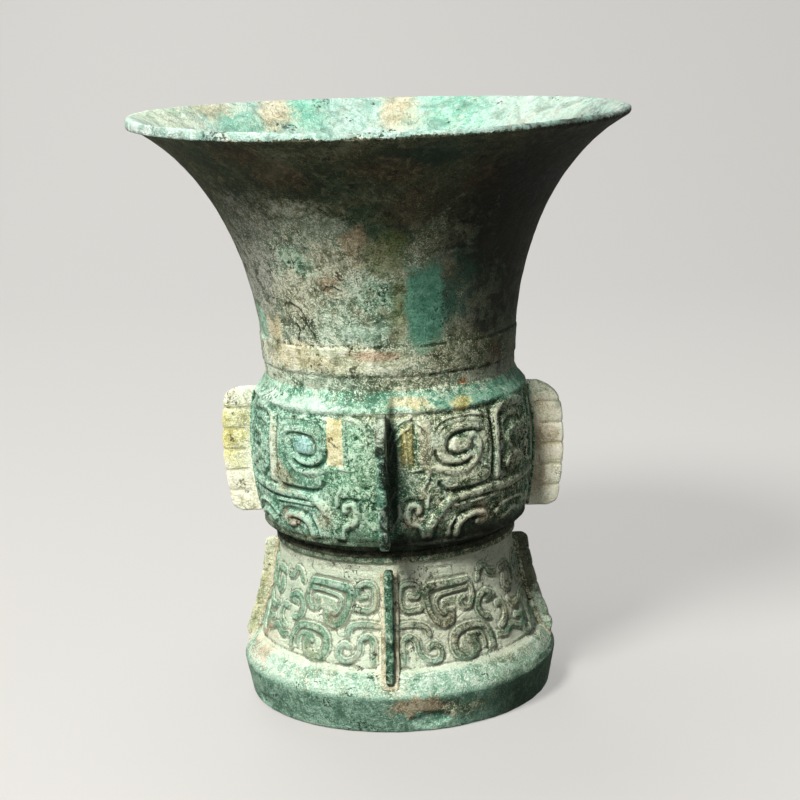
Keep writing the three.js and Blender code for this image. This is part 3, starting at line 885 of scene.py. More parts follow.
def blend(tree, mask, under, over):
    node = addNode(tree, "ShaderNodeMix", data_type="RGBA")
    feedAll(tree, node.inputs, {0: mask, 6: under, 7: over})
    return node.outputs[2]


def blendValue(tree, mask, under, over):
    node = addNode(tree, "ShaderNodeMix", data_type="FLOAT")
    feedAll(tree, node.inputs, {0: mask, 2: under, 3: over})
    return node.outputs[0]


def newGroup(name, vectors, values, colours, outputs):
    group = bpy.data.node_groups.new(name, "ShaderNodeTree")
    sockets = [("INPUT", "Vector", vectors), ("INPUT", "Float", values), ("INPUT", "Color", colours)]
    sockets += [("OUTPUT", kind, (socketName,)) for (socketName, kind) in outputs.items()]
    for (inOut, kind, names) in sockets:
        for socketName in names:
            group.interface.new_socket(name=socketName, in_out=inOut, socket_type="NodeSocket" + kind)
    return (group, addNode(group, "NodeGroupInput").outputs, addNode(group, "NodeGroupOutput").inputs)


def placeGroup(tree, group, values):
    node = addNode(tree, "ShaderNodeGroup", node_tree=group)
    feedAll(tree, node.inputs, values)
    return node.outputs


surface = {  # what every patina of the goblet shares; scales are per mm
    "clouds": {  # scale, detail, roughness and distortion
        "Broad": (0.1, 4, 0.6, 0.5),
        "Middle": (0.38, 4, 0.65, 0.6),
        "Fine": (0.95, 3, 0.65, 0.3),
        "Grit": (2.2, 2, 0.6, 0.2),
    },
    "drifts": ((0.08, 15), (0.3, 6)),  # scale and reach
    "hairlines": (((3, 9, 27), 0.06), ((61, 5, 13), 0.045)),  # offset and scale
    "hairEdge": (0.0048, 0.0016),
    "pits": ((0.12, 0.055, 0.62), (0.4, 0.075, 0.72)),  # scale, largest size, share of cells without one
    "blotEdge": 0.07,
    "linesShown": 0.65,
    "pitsShown": 0.75,
    "curlsShown": 0.9,
    "curlColour": tint(44, 50, 34),
    "pitColour": tint(24, 24, 18),
    "roughness": (0.62, 0.92),
    "specular": 0.12,
    "bumpDepth": 0.34,
}


def makeCloudGroup():
    # Noise at four sizes, shared by every patch and grain of a patina, and a place drawn out of true
    sizes = surface["clouds"]
    outputs = {**dict.fromkeys(sizes, "Float"), "Drifted": "Vector"}
    (group, given, result) = newGroup("clouds", ["Vector"], [], [], outputs)
    for (name, settings) in sizes.items():
        feed(group, result[name], noiseNode(group, given["Vector"], *settings))
    drifted = given["Vector"]
    for (scale, reach) in surface["drifts"]:
        push = noiseNode(group, given["Vector"], scale, 3, 0.6, 0, "Color")
        push = vectorNode(group, "SUBTRACT", push, (0.5, 0.5, 0.5))
        push = vectorNode(group, "MULTIPLY", push, (reach, reach, reach))
        drifted = vectorNode(group, "ADD", drifted, push)
    feed(group, result["Drifted"], drifted)
    return group


def makePatchGroup():
    # A ragged patch round a point, Place and Size in mm: round where Square is 0, with corners where it is 1
    (group, given, result) = newGroup(
        "patch", ["Vector", "Place", "Size"], ["Broad", "Middle", "Fine", "Square", "Ragged", "Soft"], [],
        {"Mask": "Float"})
    away = vectorNode(group, "DIVIDE", vectorNode(group, "SUBTRACT", given["Vector"], given["Place"]),
                      given["Size"])
    split = addNode(group, "ShaderNodeSeparateXYZ")
    feed(group, split.inputs[0], vectorNode(group, "ABSOLUTE", away))
    (x, y, z) = split.outputs
    corners = mathNode(group, "MAXIMUM", mathNode(group, "MAXIMUM", x, y), z)
    far = blendValue(group, given["Square"], vectorNode(group, "LENGTH", away), corners)
    rag = sumOf(group, [(given["Broad"], 1.6, 0.5), (given["Middle"], 1.6, 0.5), (given["Fine"], 0.9, 0.5)])
    near = mathNode(group, "SUBTRACT", 1.0, far)
    level = mathNode(group, "MULTIPLY_ADD", rag, given["Ragged"], near)
    feed(group, result["Mask"], rangeNode(group, level, product(group, given["Soft"], -1.0), given["Soft"]))
    return group


def makeStainGroup():
    # Another mineral that comes through in blots all over: Cover is the share of the surface it takes
    (group, given, result) = newGroup("stain", ["Vector"], ["Scale", "Cover", "Soft"], [], {"Mask": "Float"})
    field = noiseNode(group, given["Vector"], given["Scale"], 5, 0.62, 0.7)
    edge = mathNode(group, "MULTIPLY_ADD", given["Cover"], -0.32, 0.66)
    (low, high) = (mathNode(group, sign, edge, given["Soft"]) for sign in ("SUBTRACT", "ADD"))
    feed(group, result["Mask"], rangeNode(group, field, low, high))
    return group


def makeSpeckleGroup():
    # Fine grains of a pale and a dark mineral over a middle colour: Share is more or less of the pale
    (group, given, result) = newGroup(
        "speckle", [], ["Broad", "Middle", "Fine", "Grit", "Skin", "Share", "Contrast"],
        ["Dark", "Mean", "Pale"], {"Color": "Color", "Height": "Float", "Grain": "Float"})
    tone = sumOf(group, [(given["Middle"], 0.5, 0.5), (given["Broad"], 0.5, 0.5), (given["Skin"], 0.05, 0.0)])
    colour = blend(group, rangeNode(group, tone, 0.03, -0.12, 0, 0.65), given["Mean"], given["Dark"])
    colour = blend(group, rangeNode(group, tone, -0.02, 0.14, 0, 0.5), colour, given["Pale"])
    grain = sumOf(group, [(given["Grit"], 0.62, 0.5), (given["Fine"], 0.38, 0.5),
                          (given["Middle"], 0.16, 0.5), (given["Skin"], 0.02, 0.0), (tone, 0.3, 0.0)])
    edge = mathNode(group, "MULTIPLY_ADD", given["Share"], -0.2, 0.135)
    (low, high) = (mathNode(group, "SUBTRACT", edge, 0.02), mathNode(group, "ADD", edge, 0.03))
    pale = rangeNode(group, grain, low, high)
    colour = blend(group, product(group, pale, given["Contrast"]), colour, given["Pale"])
    edge = mathNode(group, "MULTIPLY_ADD", given["Share"], -0.14, 0.0)
    dark = rangeNode(group, grain, edge, mathNode(group, "SUBTRACT", edge, 0.045))
    colour = blend(group, product(group, dark, given["Contrast"]), colour, given["Dark"])
    height = sumOf(group, [(grain, 2.2, 0.0), (pale, 0.3, 0.0), (dark, -0.35, 0.0),
                           (given["Middle"], 1.0, 0.5)])
    feedAll(group, result, {"Color": colour, "Height": height, "Grain": grain})
    return group


def makeMarksGroup():
    # Root-like hairlines and small black pits
    (group, given, result) = newGroup("marks", ["Vector"], ["Fine"], [], {"Lines": "Float", "Pits": "Float"})
    vector = given["Vector"]
    (lines, pits) = (0.0, 0.0)
    for (offset, scale) in surface["hairlines"]:
        field = noiseNode(group, vectorNode(group, "ADD", vector, offset), scale, 1.5, 0.5, 1.4)
        off = mathNode(group, "ABSOLUTE", mathNode(group, "SUBTRACT", field, 0.5))
        where = rangeNode(group, noiseNode(group, vector, scale * 2.4, 2), 0.5, 0.56)
        line = product(group, rangeNode(group, off, *surface["hairEdge"]), where)
        lines = mathNode(group, "MAXIMUM", line, lines)
    for (scale, largest, share) in surface["pits"]:
        cells = addNode(group, "ShaderNodeTexVoronoi")
        feedAll(group, cells.inputs, {"Vector": vector, "Scale": scale})
        chosen = addNode(group, "ShaderNodeSeparateColor")
        feed(group, chosen.inputs[0], cells.outputs["Color"])
        size = product(group, chosen.outputs["Green"], largest)
        size = mathNode(group, "MULTIPLY_ADD", mathNode(group, "SUBTRACT", given["Fine"], 0.5), largest, size)
        pit = rangeNode(group, cells.outputs["Distance"], size, product(group, size, 0.5))
        pit = product(group, pit, mathNode(group, "GREATER_THAN", chosen.outputs["Red"], share))
        pits = mathNode(group, "MAXIMUM", pit, pits)
    feedAll(group, result, {"Lines": lines, "Pits": pits})
    return group


cloudGroup = makeCloudGroup()
patchGroup = makePatchGroup()
stainGroup = makeStainGroup()
speckleGroup = makeSpeckleGroup()
marksGroup = makeMarksGroup()


def onSurface(turn, radius, height):  # turn in degrees from the front, + towards +X
    a = math.radians(turn)
    return (radius * math.sin(a), -radius * math.cos(a), height)


def readMask(tree, name):
    return addNode(tree, "ShaderNodeAttribute", attribute_name=name).outputs["Fac"]


def layMineral(tree, mask, under, over):
    colours = [blend(tree, mask, a, b) for (a, b) in zip(under[:3], over[:3])]
    return colours + [blendValue(tree, mask, under[3], over[3])]


def layPatch(tree, crust, patch, vector, clouds):
    placed = placeGroup(tree, patchGroup, {
        "Vector": clouds["Drifted"] if patch["drift"] else vector,
        "Place": onSurface(*patch["at"]), "Size": patch["size"], "Broad": clouds["Broad"],
        "Middle": clouds["Middle"], "Fine": clouds["Fine"], "Square": patch["square"],
        "Ragged": patch["ragged"], "Soft": patch["soft"]})
    mask = product(tree, placed["Mask"], patch["strength"])
    if patch["only"]:
        edge = sumOf(tree, [(readMask(tree, patch["only"]), 1.0, 0.5), (clouds["Fine"], 1.1, 0.5),
                            (clouds["Grit"], 1.1, 0.5)])
        mask = product(tree, mask, rangeNode(tree, edge, -0.06, 0.06))
    return layMineral(tree, mask, crust, patch["palette"])


def layStain(tree, crust, stain, vector):
    (palette, scale, cover, strength) = stain
    shifted = vectorNode(tree, "ADD", vector, (scale * 700, cover * 300, scale * 1900))
    blots = placeGroup(tree, stainGroup, {
        "Vector": shifted, "Scale": scale, "Cover": cover, "Soft": surface["blotEdge"]})
    held = product(tree, product(tree, blots["Mask"], strength * 1.75), crust[3])  # most where the pale is
    return layMineral(tree, held, crust, palette)


def layRelief(tree, colour, layer, rag, dark, pale):  # a tone on the carving's ground, ridges or crests
    (mask, cover, darkened, ragged, low, high, strength) = layer
    height = readMask(tree, "crest" if mask == "crest" else "relief")
    reach = rangeNode(tree, mathNode(tree, "MULTIPLY_ADD", rag, ragged, height), low, high)
    if mask == "ground":
        reach = product(tree, reach, readMask(tree, "carved"))
    cover = {"dark": dark, "pale": pale}.get(cover, cover)
    if darkened:
        cover = blend(tree, darkened, cover, dark)
    return blend(tree, product(tree, reach, strength), colour, cover)


def drawCurl(tree, colour, curl, vector, clouds):  # one root mark: an arc of a circle on the neck
    (place, radius, lean, cut) = curl
    away = vectorNode(tree, "SUBTRACT", vector, onSurface(*place))
    (a, lean) = (math.radians(place[0]), math.radians(lean))
    side = (math.cos(a) * math.cos(lean), math.sin(a) * math.cos(lean), math.sin(lean))
    off = mathNode(tree, "SUBTRACT", vectorNode(tree, "LENGTH", away), radius)
    off = mathNode(tree, "ABSOLUTE", mathNode(tree, "ADD", off, sumOf(tree, [(clouds["Middle"], 4.0, 0.5)])))
    shown = rangeNode(tree, vectorNode(tree, "DOT_PRODUCT", away, side), cut, cut + 0.8)
    line = product(tree, rangeNode(tree, off, 0.5, 0.2), shown)
    return blend(tree, product(tree, line, surface["curlsShown"]), colour, surface["curlColour"])


def makePatina(name, look):
    material = bpy.data.materials.new(name)
    material.use_nodes = True
    tree = material.node_tree
    shader = tree.nodes["Principled BSDF"]
    coordinates = addNode(tree, "ShaderNodeTexCoord").outputs["Object"]
    vector = vectorNode(tree, "MULTIPLY", coordinates, (1 / mm, 1 / mm, 1 / mm))
    clouds = placeGroup(tree, cloudGroup, {"Vector": vector})
    crust = list(look["palette"])
    for patch in look.get("zones", []):
        crust = layPatch(tree, crust, patch, vector, clouds)
    for stain in look.get("stains", []):
        crust = layStain(tree, crust, stain, vector)
    for patch in look.get("lateZones", []):  # these cover the stains too
        crust = layPatch(tree, crust, patch, vector, clouds)
    (dark, mean, pale, share) = crust
    speckle = placeGroup(tree, speckleGroup, {
        "Broad": clouds["Broad"], "Middle": clouds["Middle"], "Fine": clouds["Fine"], "Grit": clouds["Grit"],
        "Skin": readMask(tree, "skin"), "Share": share, "Contrast": look.get("contrast", 0.9),
        "Dark": dark, "Mean": mean, "Pale": pale})
    colour = speckle["Color"]
    rag = sumOf(tree, [(clouds["Fine"], 0.7, 0.5), (clouds["Grit"], 0.4, 0.5), (clouds["Middle"], 0.5, 0.5)])
    for layer in look.get("relief", []):
        colour = layRelief(tree, colour, layer, rag, dark, pale)
    marks = placeGroup(tree, marksGroup, {"Vector": vector, "Fine": clouds["Fine"]})
    colour = blend(tree, product(tree, marks["Lines"], surface["linesShown"]), colour, dark)
    for curl in look.get("curls", []):
        colour = drawCurl(tree, colour, curl, vector, clouds)
    colour = blend(tree, product(tree, marks["Pits"], surface["pitsShown"]), colour, surface["pitColour"])
    roughness = rangeNode(tree, speckle["Grain"], -0.15, 0.15, *surface["roughness"])
    feedAll(tree, shader.inputs, {"Base Color": colour, "Roughness": roughness})
    shader.inputs["Specular IOR Level"].default_value = surface["specular"]
    bump = addNode(tree, "ShaderNodeBump")
    bump.inputs["Strength"].default_value = look["bump"]
    bump.inputs["Distance"].default_value = surface["bumpDepth"] * mm
    height = mathNode(tree, "MULTIPLY_ADD", marks["Pits"], -1.0, speckle["Height"])
    height = mathNode(tree, "MULTIPLY_ADD", marks["Lines"], -0.4, height)
    feed(tree, bump.inputs["Height"], height)
    feed(tree, shader.inputs["Normal"], bump.outputs["Normal"])
    return material


# Minerals, and tones also laid as painted shade
def mineral(dark, mean, pale, share):  # three tones, and how much of the pale one shows
    return (tint(*dark), tint(*mean), tint(*pale), share)


# a near-black tone, laid only as painted shade and painted shadow
paintedShadeBlack = mineral((8, 9, 6), (16, 17, 12), (38, 40, 30), 0.14)
# a dark bronze tone, also laid as painted shade round the waist
darkBronzeAndShade = mineral((30, 34, 23), (64, 69, 52), (116, 121, 97), 0.32)
brown = mineral((46, 38, 27), (92, 77, 58), (146, 128, 104), 0.4)
greyCrust = mineral((68, 84, 60), (154, 168, 141), (234, 242, 222), 0.6)
greyWhite = mineral((60, 64, 54), (122, 126, 112), (208, 210, 198), 0.5)
creamCrust = mineral((92, 92, 66), (176, 172, 138), (242, 240, 214), 0.6)
pinkCrust = mineral((130, 104, 80), (196, 168, 136), (236, 216, 188), 0.55)
tanCrust = mineral((96, 80, 58), (160, 136, 104), (206, 190, 158), 0.5)
mintCrust = mineral((72, 104, 78), (154, 184, 154), (230, 244, 224), 0.6)
seaGreen = mineral((42, 84, 60), (112, 162, 130), (214, 240, 214), 0.56)
turquoise = mineral((66, 118, 94), (126, 180, 152), (200, 236, 214), 0.5)
deepTurquoise = mineral((60, 112, 91), (92, 148, 123), (124, 176, 150), 0.26)
deepGreen = mineral((20, 34, 22), (44, 66, 46), (92, 116, 90), 0.3)
olive = mineral((44, 54, 24), (84, 98, 52), (148, 154, 104), 0.4)
brownOlive = mineral((26, 32, 16), (98, 106, 70), (238, 238, 206), 0.5)
redBrown = mineral((54, 34, 26), (104, 68, 52), (158, 120, 98), 0.4)
ochre = mineral((140, 124, 58), (204, 186, 104), (236, 226, 168), 0.55)
yellowCream = mineral((170, 152, 100), (226, 208, 152), (244, 234, 196), 0.6)
orange = mineral((112, 62, 30), (184, 114, 58), (220, 172, 112), 0.5)
brightMint = mineral((120, 168, 138), (184, 220, 194), (232, 246, 230), 0.62)
brightCream = mineral((158, 164, 118), (226, 232, 194), (250, 253, 234), 0.64)
paleMouth = mineral((136, 182, 164), (184, 216, 202), (214, 232, 224), 0.5)
mouthTurquoise = mineral((104, 176, 148), (140, 206, 180), (190, 230, 212), 0.4)
mouthCream = mineral((176, 160, 118), (220, 206, 170), (236, 230, 206), 0.5)
neckShade = mineral((38, 44, 30), (86, 92, 69), (146, 152, 122), 0.4)
rimCrust = mineral((52, 64, 54), (186, 204, 192), (236, 244, 238), 0.5)
darkTeal = mineral((20, 42, 34), (40, 68, 56), (72, 100, 84), 0.2)
chalkGreen = mineral((150, 176, 160), (180, 204, 190), (206, 222, 212), 0.5)
teal = mineral((30, 60, 50), (48, 84, 70), (80, 120, 102), 0.2)
leafGreen = mineral((36, 88, 54), (104, 162, 120), (208, 240, 210), 0.56)
# pale mint crust, lightened further as a painted highlight on the left shoulder
shoulderMintAndHighlight = mineral((140, 190, 162), (190, 226, 204), (228, 246, 230), 0.6)
strawCream = mineral((196, 184, 126), (234, 223, 166), (250, 244, 210), 0.6)
eyeBlue = mineral((70, 130, 122), (130, 186, 178), (190, 226, 220), 0.4)
bandGreen = mineral((70, 106, 86), (124, 162, 140), (176, 210, 186), 0.4)
midGreen = mineral((26, 50, 37), (70, 110, 86), (128, 166, 138), 0.4)
lemonCrust = mineral((176, 160, 70), (232, 220, 112), (246, 240, 180), 0.5)


# Looks: a zone has its place (turn in degrees from the front, radius, height), its half sizes in mm,
# its mineral and its strength; "lateZones" cover the stains too
def zone(at, size, palette, strength=0.9, soft=0.34, ragged=0.8, square=0.0, drift=True, only=None):
    return {"at": at, "size": size, "palette": palette, "strength": strength, "soft": soft,
            "ragged": ragged, "square": square, "drift": drift, "only": only}


def belt(height, halfHeight, palette, strength=0.9, **more):  # a zone all the way round
    return zone((0, 0, height), (300, 300, halfHeight), palette, strength, **more)


def mouthZone(at, size, palette, strength=0.9, soft=0.6):  # only inside the mouth and on its lip
    return zone(at, size, palette, strength, soft=soft, only="mouth")


# "stains" are mineral, scale, cover and strength; "relief" layers are where, tone, how much of the dark
# mineral is in it, raggedness, the level where it starts, the level where it is full, and strength
neckLook = {
    "palette": greyCrust, "bump": 1.0, "contrast": 0.8,
    "curls": [  # root marks: place, radius, the side that shows, and from where
        ((-38.5, 43.3, 129.6), 4.6, 40, -0.6),
        ((-47, 43, 119.5), 14, 30, 12.4),
        ((-40.5, 42, 125.4), 3.2, 0, 1.2),
        ((-17.5, 44.5, 136.8), 3.8, 90, 1.6),
    ],
    "zones": [
        belt(182, 24, neckShade, 0.97, soft=0.16, ragged=0.9),
        zone((-40, 65, 178), (16, 14, 12), deepGreen, 0.6),
        zone((47, 61, 172), (10, 12, 14), deepGreen, 0.7),
        zone((-9, 62, 172), (15, 10, 8), deepGreen, 0.55),
        zone((14, 70, 182), (14, 10, 6), darkTeal, 0.8),
        zone((-3, 54, 162), (10, 9, 7), deepGreen, 0.75),
        zone((8, 52, 158), (8, 8, 7), deepGreen, 0.85),
        zone((4, 49, 151), (8, 8, 6), olive, 0.75),
        zone((-31, 71, 182), (9, 9, 5), brown, 0.75),
        zone((-23, 63, 175), (9, 8, 6), brown, 0.65),
        zone((6, 66, 178), (12, 9, 6), brown, 0.65),
        zone((34, 62, 173), (8, 8, 10), brown, 0.7),
        zone((13, 56, 164), (8, 8, 9), brown, 0.5),
        zone((-46, 55, 162), (11, 12, 9), greyWhite, 0.6, soft=0.4),
        zone((-24, 53, 158), (12, 11, 7), greyCrust, 0.65, soft=0.4),
        zone((-60, 48, 144), (12, 18, 18), greyWhite, 0.75, soft=0.4),
        zone((-7, 50, 154), (3, 4, 6), tanCrust, 0.7),
        zone((-16, 48, 149), (9, 9, 6), creamCrust, 0.55),
        zone((22, 50, 153), (8, 8, 5), brownOlive, 0.7),
        zone((-33, 47, 147), (6, 6, 6), seaGreen, 0.75),
        zone((-19, 45, 141), (5, 5, 4), tanCrust, 0.8),
        zone((-34, 44, 135), (10, 10, 9), creamCrust, 0.55, soft=0.35),
        zone((-12, 43, 129), (14, 12, 10), mintCrust, 0.8, soft=0.5),
        zone((1, 44, 134), (6, 7, 10), seaGreen, 0.75),
        zone((-4, 42, 126), (8, 8, 4), brightMint, 0.5),
        zone((30, 43, 130), (4, 6, 6), deepTurquoise, 0.65),
        zone((35, 46, 145), (4, 6, 6), deepTurquoise, 0.6),
        zone((28, 46, 144), (2.4, 4, 4), pinkCrust, 0.45),
        zone((33, 42, 124), (4.5, 6, 4), creamCrust, 0.65),
        zone((47, 41.5, 123), (4, 5, 4), deepGreen, 0.8),
        zone((56, 41, 115), (4, 6, 5), redBrown, 0.75),
        zone((-68, 42, 125), (3, 6, 7), turquoise, 0.95, ragged=0.5),
        zone((-53, 42, 125), (4, 5, 5), yellowCream, 0.6),
        zone((-26, 41, 117), (27, 30, 4.6), brightCream, 0.95, drift=False, ragged=0.5),
        zone((-40, 41, 117), (12, 14, 4), yellowCream, 0.5),
        zone((-2, 41, 118.4), (8, 8, 1.8), pinkCrust, 0.85, drift=False, ragged=0.5),
        zone((38, 41, 117), (16, 20, 6), brownOlive, 0.75),
        zone((-26, 41, 108.5), (24, 24, 3.6), mintCrust, 0.7, drift=False),
        zone((10, 41, 109), (12, 12, 3.4), brownOlive, 0.6),
        zone((35, 41, 106), (3, 4, 3), orange),
        zone((19, 41, 105), (6, 6, 2), yellowCream, 0.8),
        zone((150, 44, 130), (22, 18, 20), mintCrust, 0.7, soft=0.4),
        zone((-140, 46, 145), (16, 16, 12), seaGreen, 0.7),
        zone((180, 48, 146), (9, 12, 12), turquoise, 0.8),
        zone((-110, 43, 122), (12, 12, 9), creamCrust, 0.7),
        zone((120, 43, 118), (14, 14, 7), tanCrust, 0.6),
        belt(195, 200, paleMouth, 1, only="mouth", ragged=0),
        mouthZone((-100, 76, 186), (18, 26, 14), brightCream, 0.5),
        mouthZone((-131, 70, 181), (13, 14, 8), mouthTurquoise, 0.7, soft=0.5),
        mouthZone((-156, 74, 186), (8, 16, 8), mouthTurquoise, soft=0.5),
        mouthZone((-181, 74, 186), (6, 16, 8), mouthCream, 0.85),
        mouthZone((-146, 72, 186), (5, 16, 10), mouthCream, 0.85),
        mouthZone((-126, 76, 189), (14, 10, 4), mouthCream, 0.7),
        mouthZone((162, 72, 185), (15, 20, 9), mouthTurquoise, 0.75),
        mouthZone((128, 72, 186), (26, 40, 16), chalkGreen, 0.85),
        mouthZone((60, 66, 176), (24, 24, 12), mouthTurquoise, 0.6),
        mouthZone((-30, 60, 168), (26, 24, 12), mintCrust, 0.6),
        mouthZone((0, 0, 118), (60, 60, 42), seaGreen, 0.85, soft=0.5),
    ],
    "stains": [(deepGreen, 0.11, 0.3, 0.4), (creamCrust, 0.2, 0.22, 0.35), (tanCrust, 0.16, 0.2, 0.3)],
    "lateZones": [
        # painted shade: the neck's right side, away from the key lamp, darkened to near black
        zone((66, 58, 160), (36, 50, 48), paintedShadeBlack, 0.95, soft=0.4),
        zone((9, 43.5, 134), (4, 6, 14), olive, 0.75, soft=0.5),
        zone((27, 43.5, 135), (7, 9, 10), teal, 0.75, soft=0.5),
        zone((19, 43.5, 133.5), (5.6, 9, 13.4), deepTurquoise, 0.95, square=0.65, soft=0.2, ragged=0.5,
             drift=False),
        mouthZone((-68, 78, 188), (16, 26, 4), rimCrust, 0.85, soft=0.5),
        mouthZone((75, 78, 188), (12, 30, 3), rimCrust, 0.7, soft=0.5),
    ],
    "relief": [("crest", tint(34, 42, 26), 0, 1.6, -0.3, -0.8, 0.85)],
}
bellyLook = {
    "palette": seaGreen, "bump": 0.95,
    "zones": [
        zone((-58, 44, 84), (34, 38, 30), turquoise, 0.85, soft=0.5),
        zone((42, 46, 82), (28, 34, 36), brownOlive, 0.8, soft=0.45),
        belt(103.6, 2.9, turquoise, 0.85, soft=0.3, ragged=0.3, drift=False),
        zone((0, 46, 99.6), (16, 10, 2), brightCream, 0.7, soft=0.4, drift=False),
        zone((62, 42, 103.5), (20, 24, 3), deepTurquoise, 0.5, drift=False),
        zone((31, 47, 90), (4, 5, 2.4), brightCream, 0.75, soft=0.2, ragged=0.4, drift=False),
        zone((-12.5, 46, 68.5), (2.4, 5, 4.4), brightCream, 0.8, ragged=0.6),
        zone((12, 46, 68.5), (2.4, 5, 4.4), pinkCrust, 0.6, ragged=0.6),
        zone((-24, 46, 67), (3.4, 5, 5), creamCrust, 0.7),
        zone((-43, 45, 65), (4, 5, 3.4), pinkCrust, 0.75, ragged=0.5),
        zone((42, 45, 65), (4, 5, 3), pinkCrust, 0.5, ragged=0.5),
        zone((-52, 46, 88), (2.4, 3, 11), brightCream, 0.75, soft=0.3, ragged=0.4, drift=False),
        zone((-45, 47, 79.5), (4, 5, 4), tanCrust, 0.6),
        zone((-5, 46, 88), (3.6, 8, 13), greyCrust, 0.7, soft=0.4),
        zone((27, 43, 104), (2.4, 4, 2), deepTurquoise, 0.8),
        zone((33, 44, 103.5), (3, 4, 3), ochre, 0.8, ragged=1.3, soft=0.5),
        zone((14, 43, 103.5), (6, 6, 2.4), yellowCream, 0.8, ragged=0.6),
        # painted shade: a dark band round the undercut under the belly's lower edge, where the waist lies in
        # shade
        belt(57.8, 3.1, darkBronzeAndShade, soft=0.3, ragged=0.3, drift=False),
        zone((140, 46, 88), (14, 14, 12), creamCrust, 0.6, soft=0.4),
        zone((-130, 46, 74), (14, 14, 10), brownOlive, 0.7, soft=0.4),
    ],
    "stains": [(mintCrust, 0.16, 0.34, 0.6), (greyCrust, 0.22, 0.16, 0.4), (olive, 0.13, 0.16, 0.35)],
    "lateZones": [
        zone((-12, 46, 80), (10, 9, 20), leafGreen, 0.6, soft=0.5),
        # pale mint on the left of the shoulder: partly its crust, partly a painted highlight where the
        # shoulder faces the key lamp
        zone((-45, 42, 102.2), (26, 30, 2.4), shoulderMintAndHighlight, 0.8, soft=0.4, drift=False),
        zone((-18.8, 46, 92), (2.5, 6, 7.2), strawCream, square=1.0, soft=0.08, ragged=0.12, drift=False),
        zone((9.4, 46, 91), (2.2, 6, 6.6), ochre, 0.6, square=0.7, soft=0.3, ragged=0.5, drift=False),
        zone((16.2, 46, 91), (1.8, 6, 7.8), creamCrust, 0.7, square=0.7, soft=0.3, ragged=0.5,
             drift=False),
        # painted shadow: a near-black strip on the belly just right of the front flange, where the flange
        # casts its shadow
        zone((3.6, 47, 84), (1.6, 8, 26), paintedShadeBlack, 0.85, soft=0.35, ragged=0.5, drift=False),
        # painted shade: near black under the belly's lower edge on the right, at the waist
        zone((34, 46, 58), (34, 36, 5), paintedShadeBlack, 0.8, soft=0.5),
        zone((-33, 47, 90.4), (3.4, 5, 2.9), eyeBlue, 0.85, soft=0.3, ragged=0.3, drift=False),
    ],
    "relief": [
        ("ground", "dark", 0, 1.2, 0.42, 0.05, 0.34),
        ("crest", "pale", 0, 0.8, 0.1, 0.3, 0.85),
        ("crest", tint(20, 26, 16), 0.5, 0.9, -0.14, -0.34, 0.7),
    ],
}
footLook = {
    "palette": mineral((82, 132, 100), (158, 194, 162), (226, 242, 218), 0.55), "bump": 0.95,
    "zones": [
        zone((22, 43, 33), (14, 12, 14), creamCrust, 0.45, soft=0.45),
        zone((-28, 43, 44), (12, 12, 3), turquoise, 0.7, ragged=0.5),
        zone((-52, 44, 40), (6, 8, 7), turquoise, 0.55),
        zone((-30, 44, 38), (6, 6, 3), brightCream, 0.6),
        zone((-35, 45, 24), (5, 6, 3), brightCream, 0.55),
        zone((-16, 44, 25), (5, 6, 5), brightMint, 0.6),
        zone((-24, 43, 34), (3, 5, 3), pinkCrust, 0.55),
        zone((24, 43, 33), (4, 6, 7), pinkCrust, 0.5),
        belt(15.6, 4.6, brightMint, soft=0.4, ragged=0.7, drift=False),
        zone((14, 48, 17), (9, 12, 4), turquoise, 0.5),
        zone((-10, 48, 17), (9, 12, 4), turquoise, 0.35),
        zone((48, 48, 17), (12, 16, 5), creamCrust, 0.6),
        zone((-66, 48, 20), (7, 9, 5), pinkCrust, 0.8),
        zone((-46, 51, 9), (14, 16, 4), turquoise, 0.4),
        zone((-12, 51, 5), (14, 14, 5), deepGreen, 0.45),
        zone((62, 44, 30), (5, 7, 3), ochre, 0.75),
        zone((66, 44, 40), (6, 9, 6), redBrown, 0.5),
        belt(52.5, 3.6, darkBronzeAndShade, 0.8, soft=0.4, drift=False),
        zone((-3.4, 45, 31), (2.2, 8, 17), brightCream, square=0.9, soft=0.14, ragged=0.3, drift=False),
        zone((0.5, 42, 49), (4.5, 6, 3), brightCream, ragged=0.5, drift=False),
        zone((4, 48, 16.5), (3.4, 8, 4.6), brightCream, ragged=0.6, drift=False),
        zone((4, 45, 30), (1.3, 8, 14), creamCrust, 0.6, ragged=0.6, drift=False),
        zone((0, 0, 8), (30, 30, 60), darkBronzeAndShade, soft=0.3, ragged=0.3),
    ],
    "stains": [(brightMint, 0.17, 0.3, 0.55), (seaGreen, 0.14, 0.24, 0.45), (creamCrust, 0.24, 0.26, 0.5)],
    "lateZones": [
        zone((44, 44, 38), (34, 40, 20), brownOlive, 0.7, soft=0.5),
        zone((30, 49, 16), (34, 24, 3.6), brightMint, 0.75, soft=0.5),
        belt(5, 7.6, bandGreen, 0.97, soft=0.12, ragged=0.3, drift=False),
        zone((11, 51, 8.6), (11, 8, 3.4), tanCrust, 0.8),
        zone((15, 51, 3.8), (6, 5, 1.7), turquoise, ragged=0.5),
        zone((28, 51, 7.4), (9, 9, 4), brownOlive, 0.7),
        zone((58, 50, 6), (18, 22, 9), deepGreen, 0.85, soft=0.5),
    ],
    "relief": [
        ("ground", tint(240, 247, 221), 0, 1.2, 0.6, 0.2, 0.72),
        ("ridge", "dark", 0, 0.5, 0.45, 0.75, 0.66),
        ("crest", "pale", 0, 0.8, 0.14, 0.36, 0.4),
        ("crest", tint(58, 66, 44), 0, 0.6, -0.08, -0.26, 0.65),
    ],
}
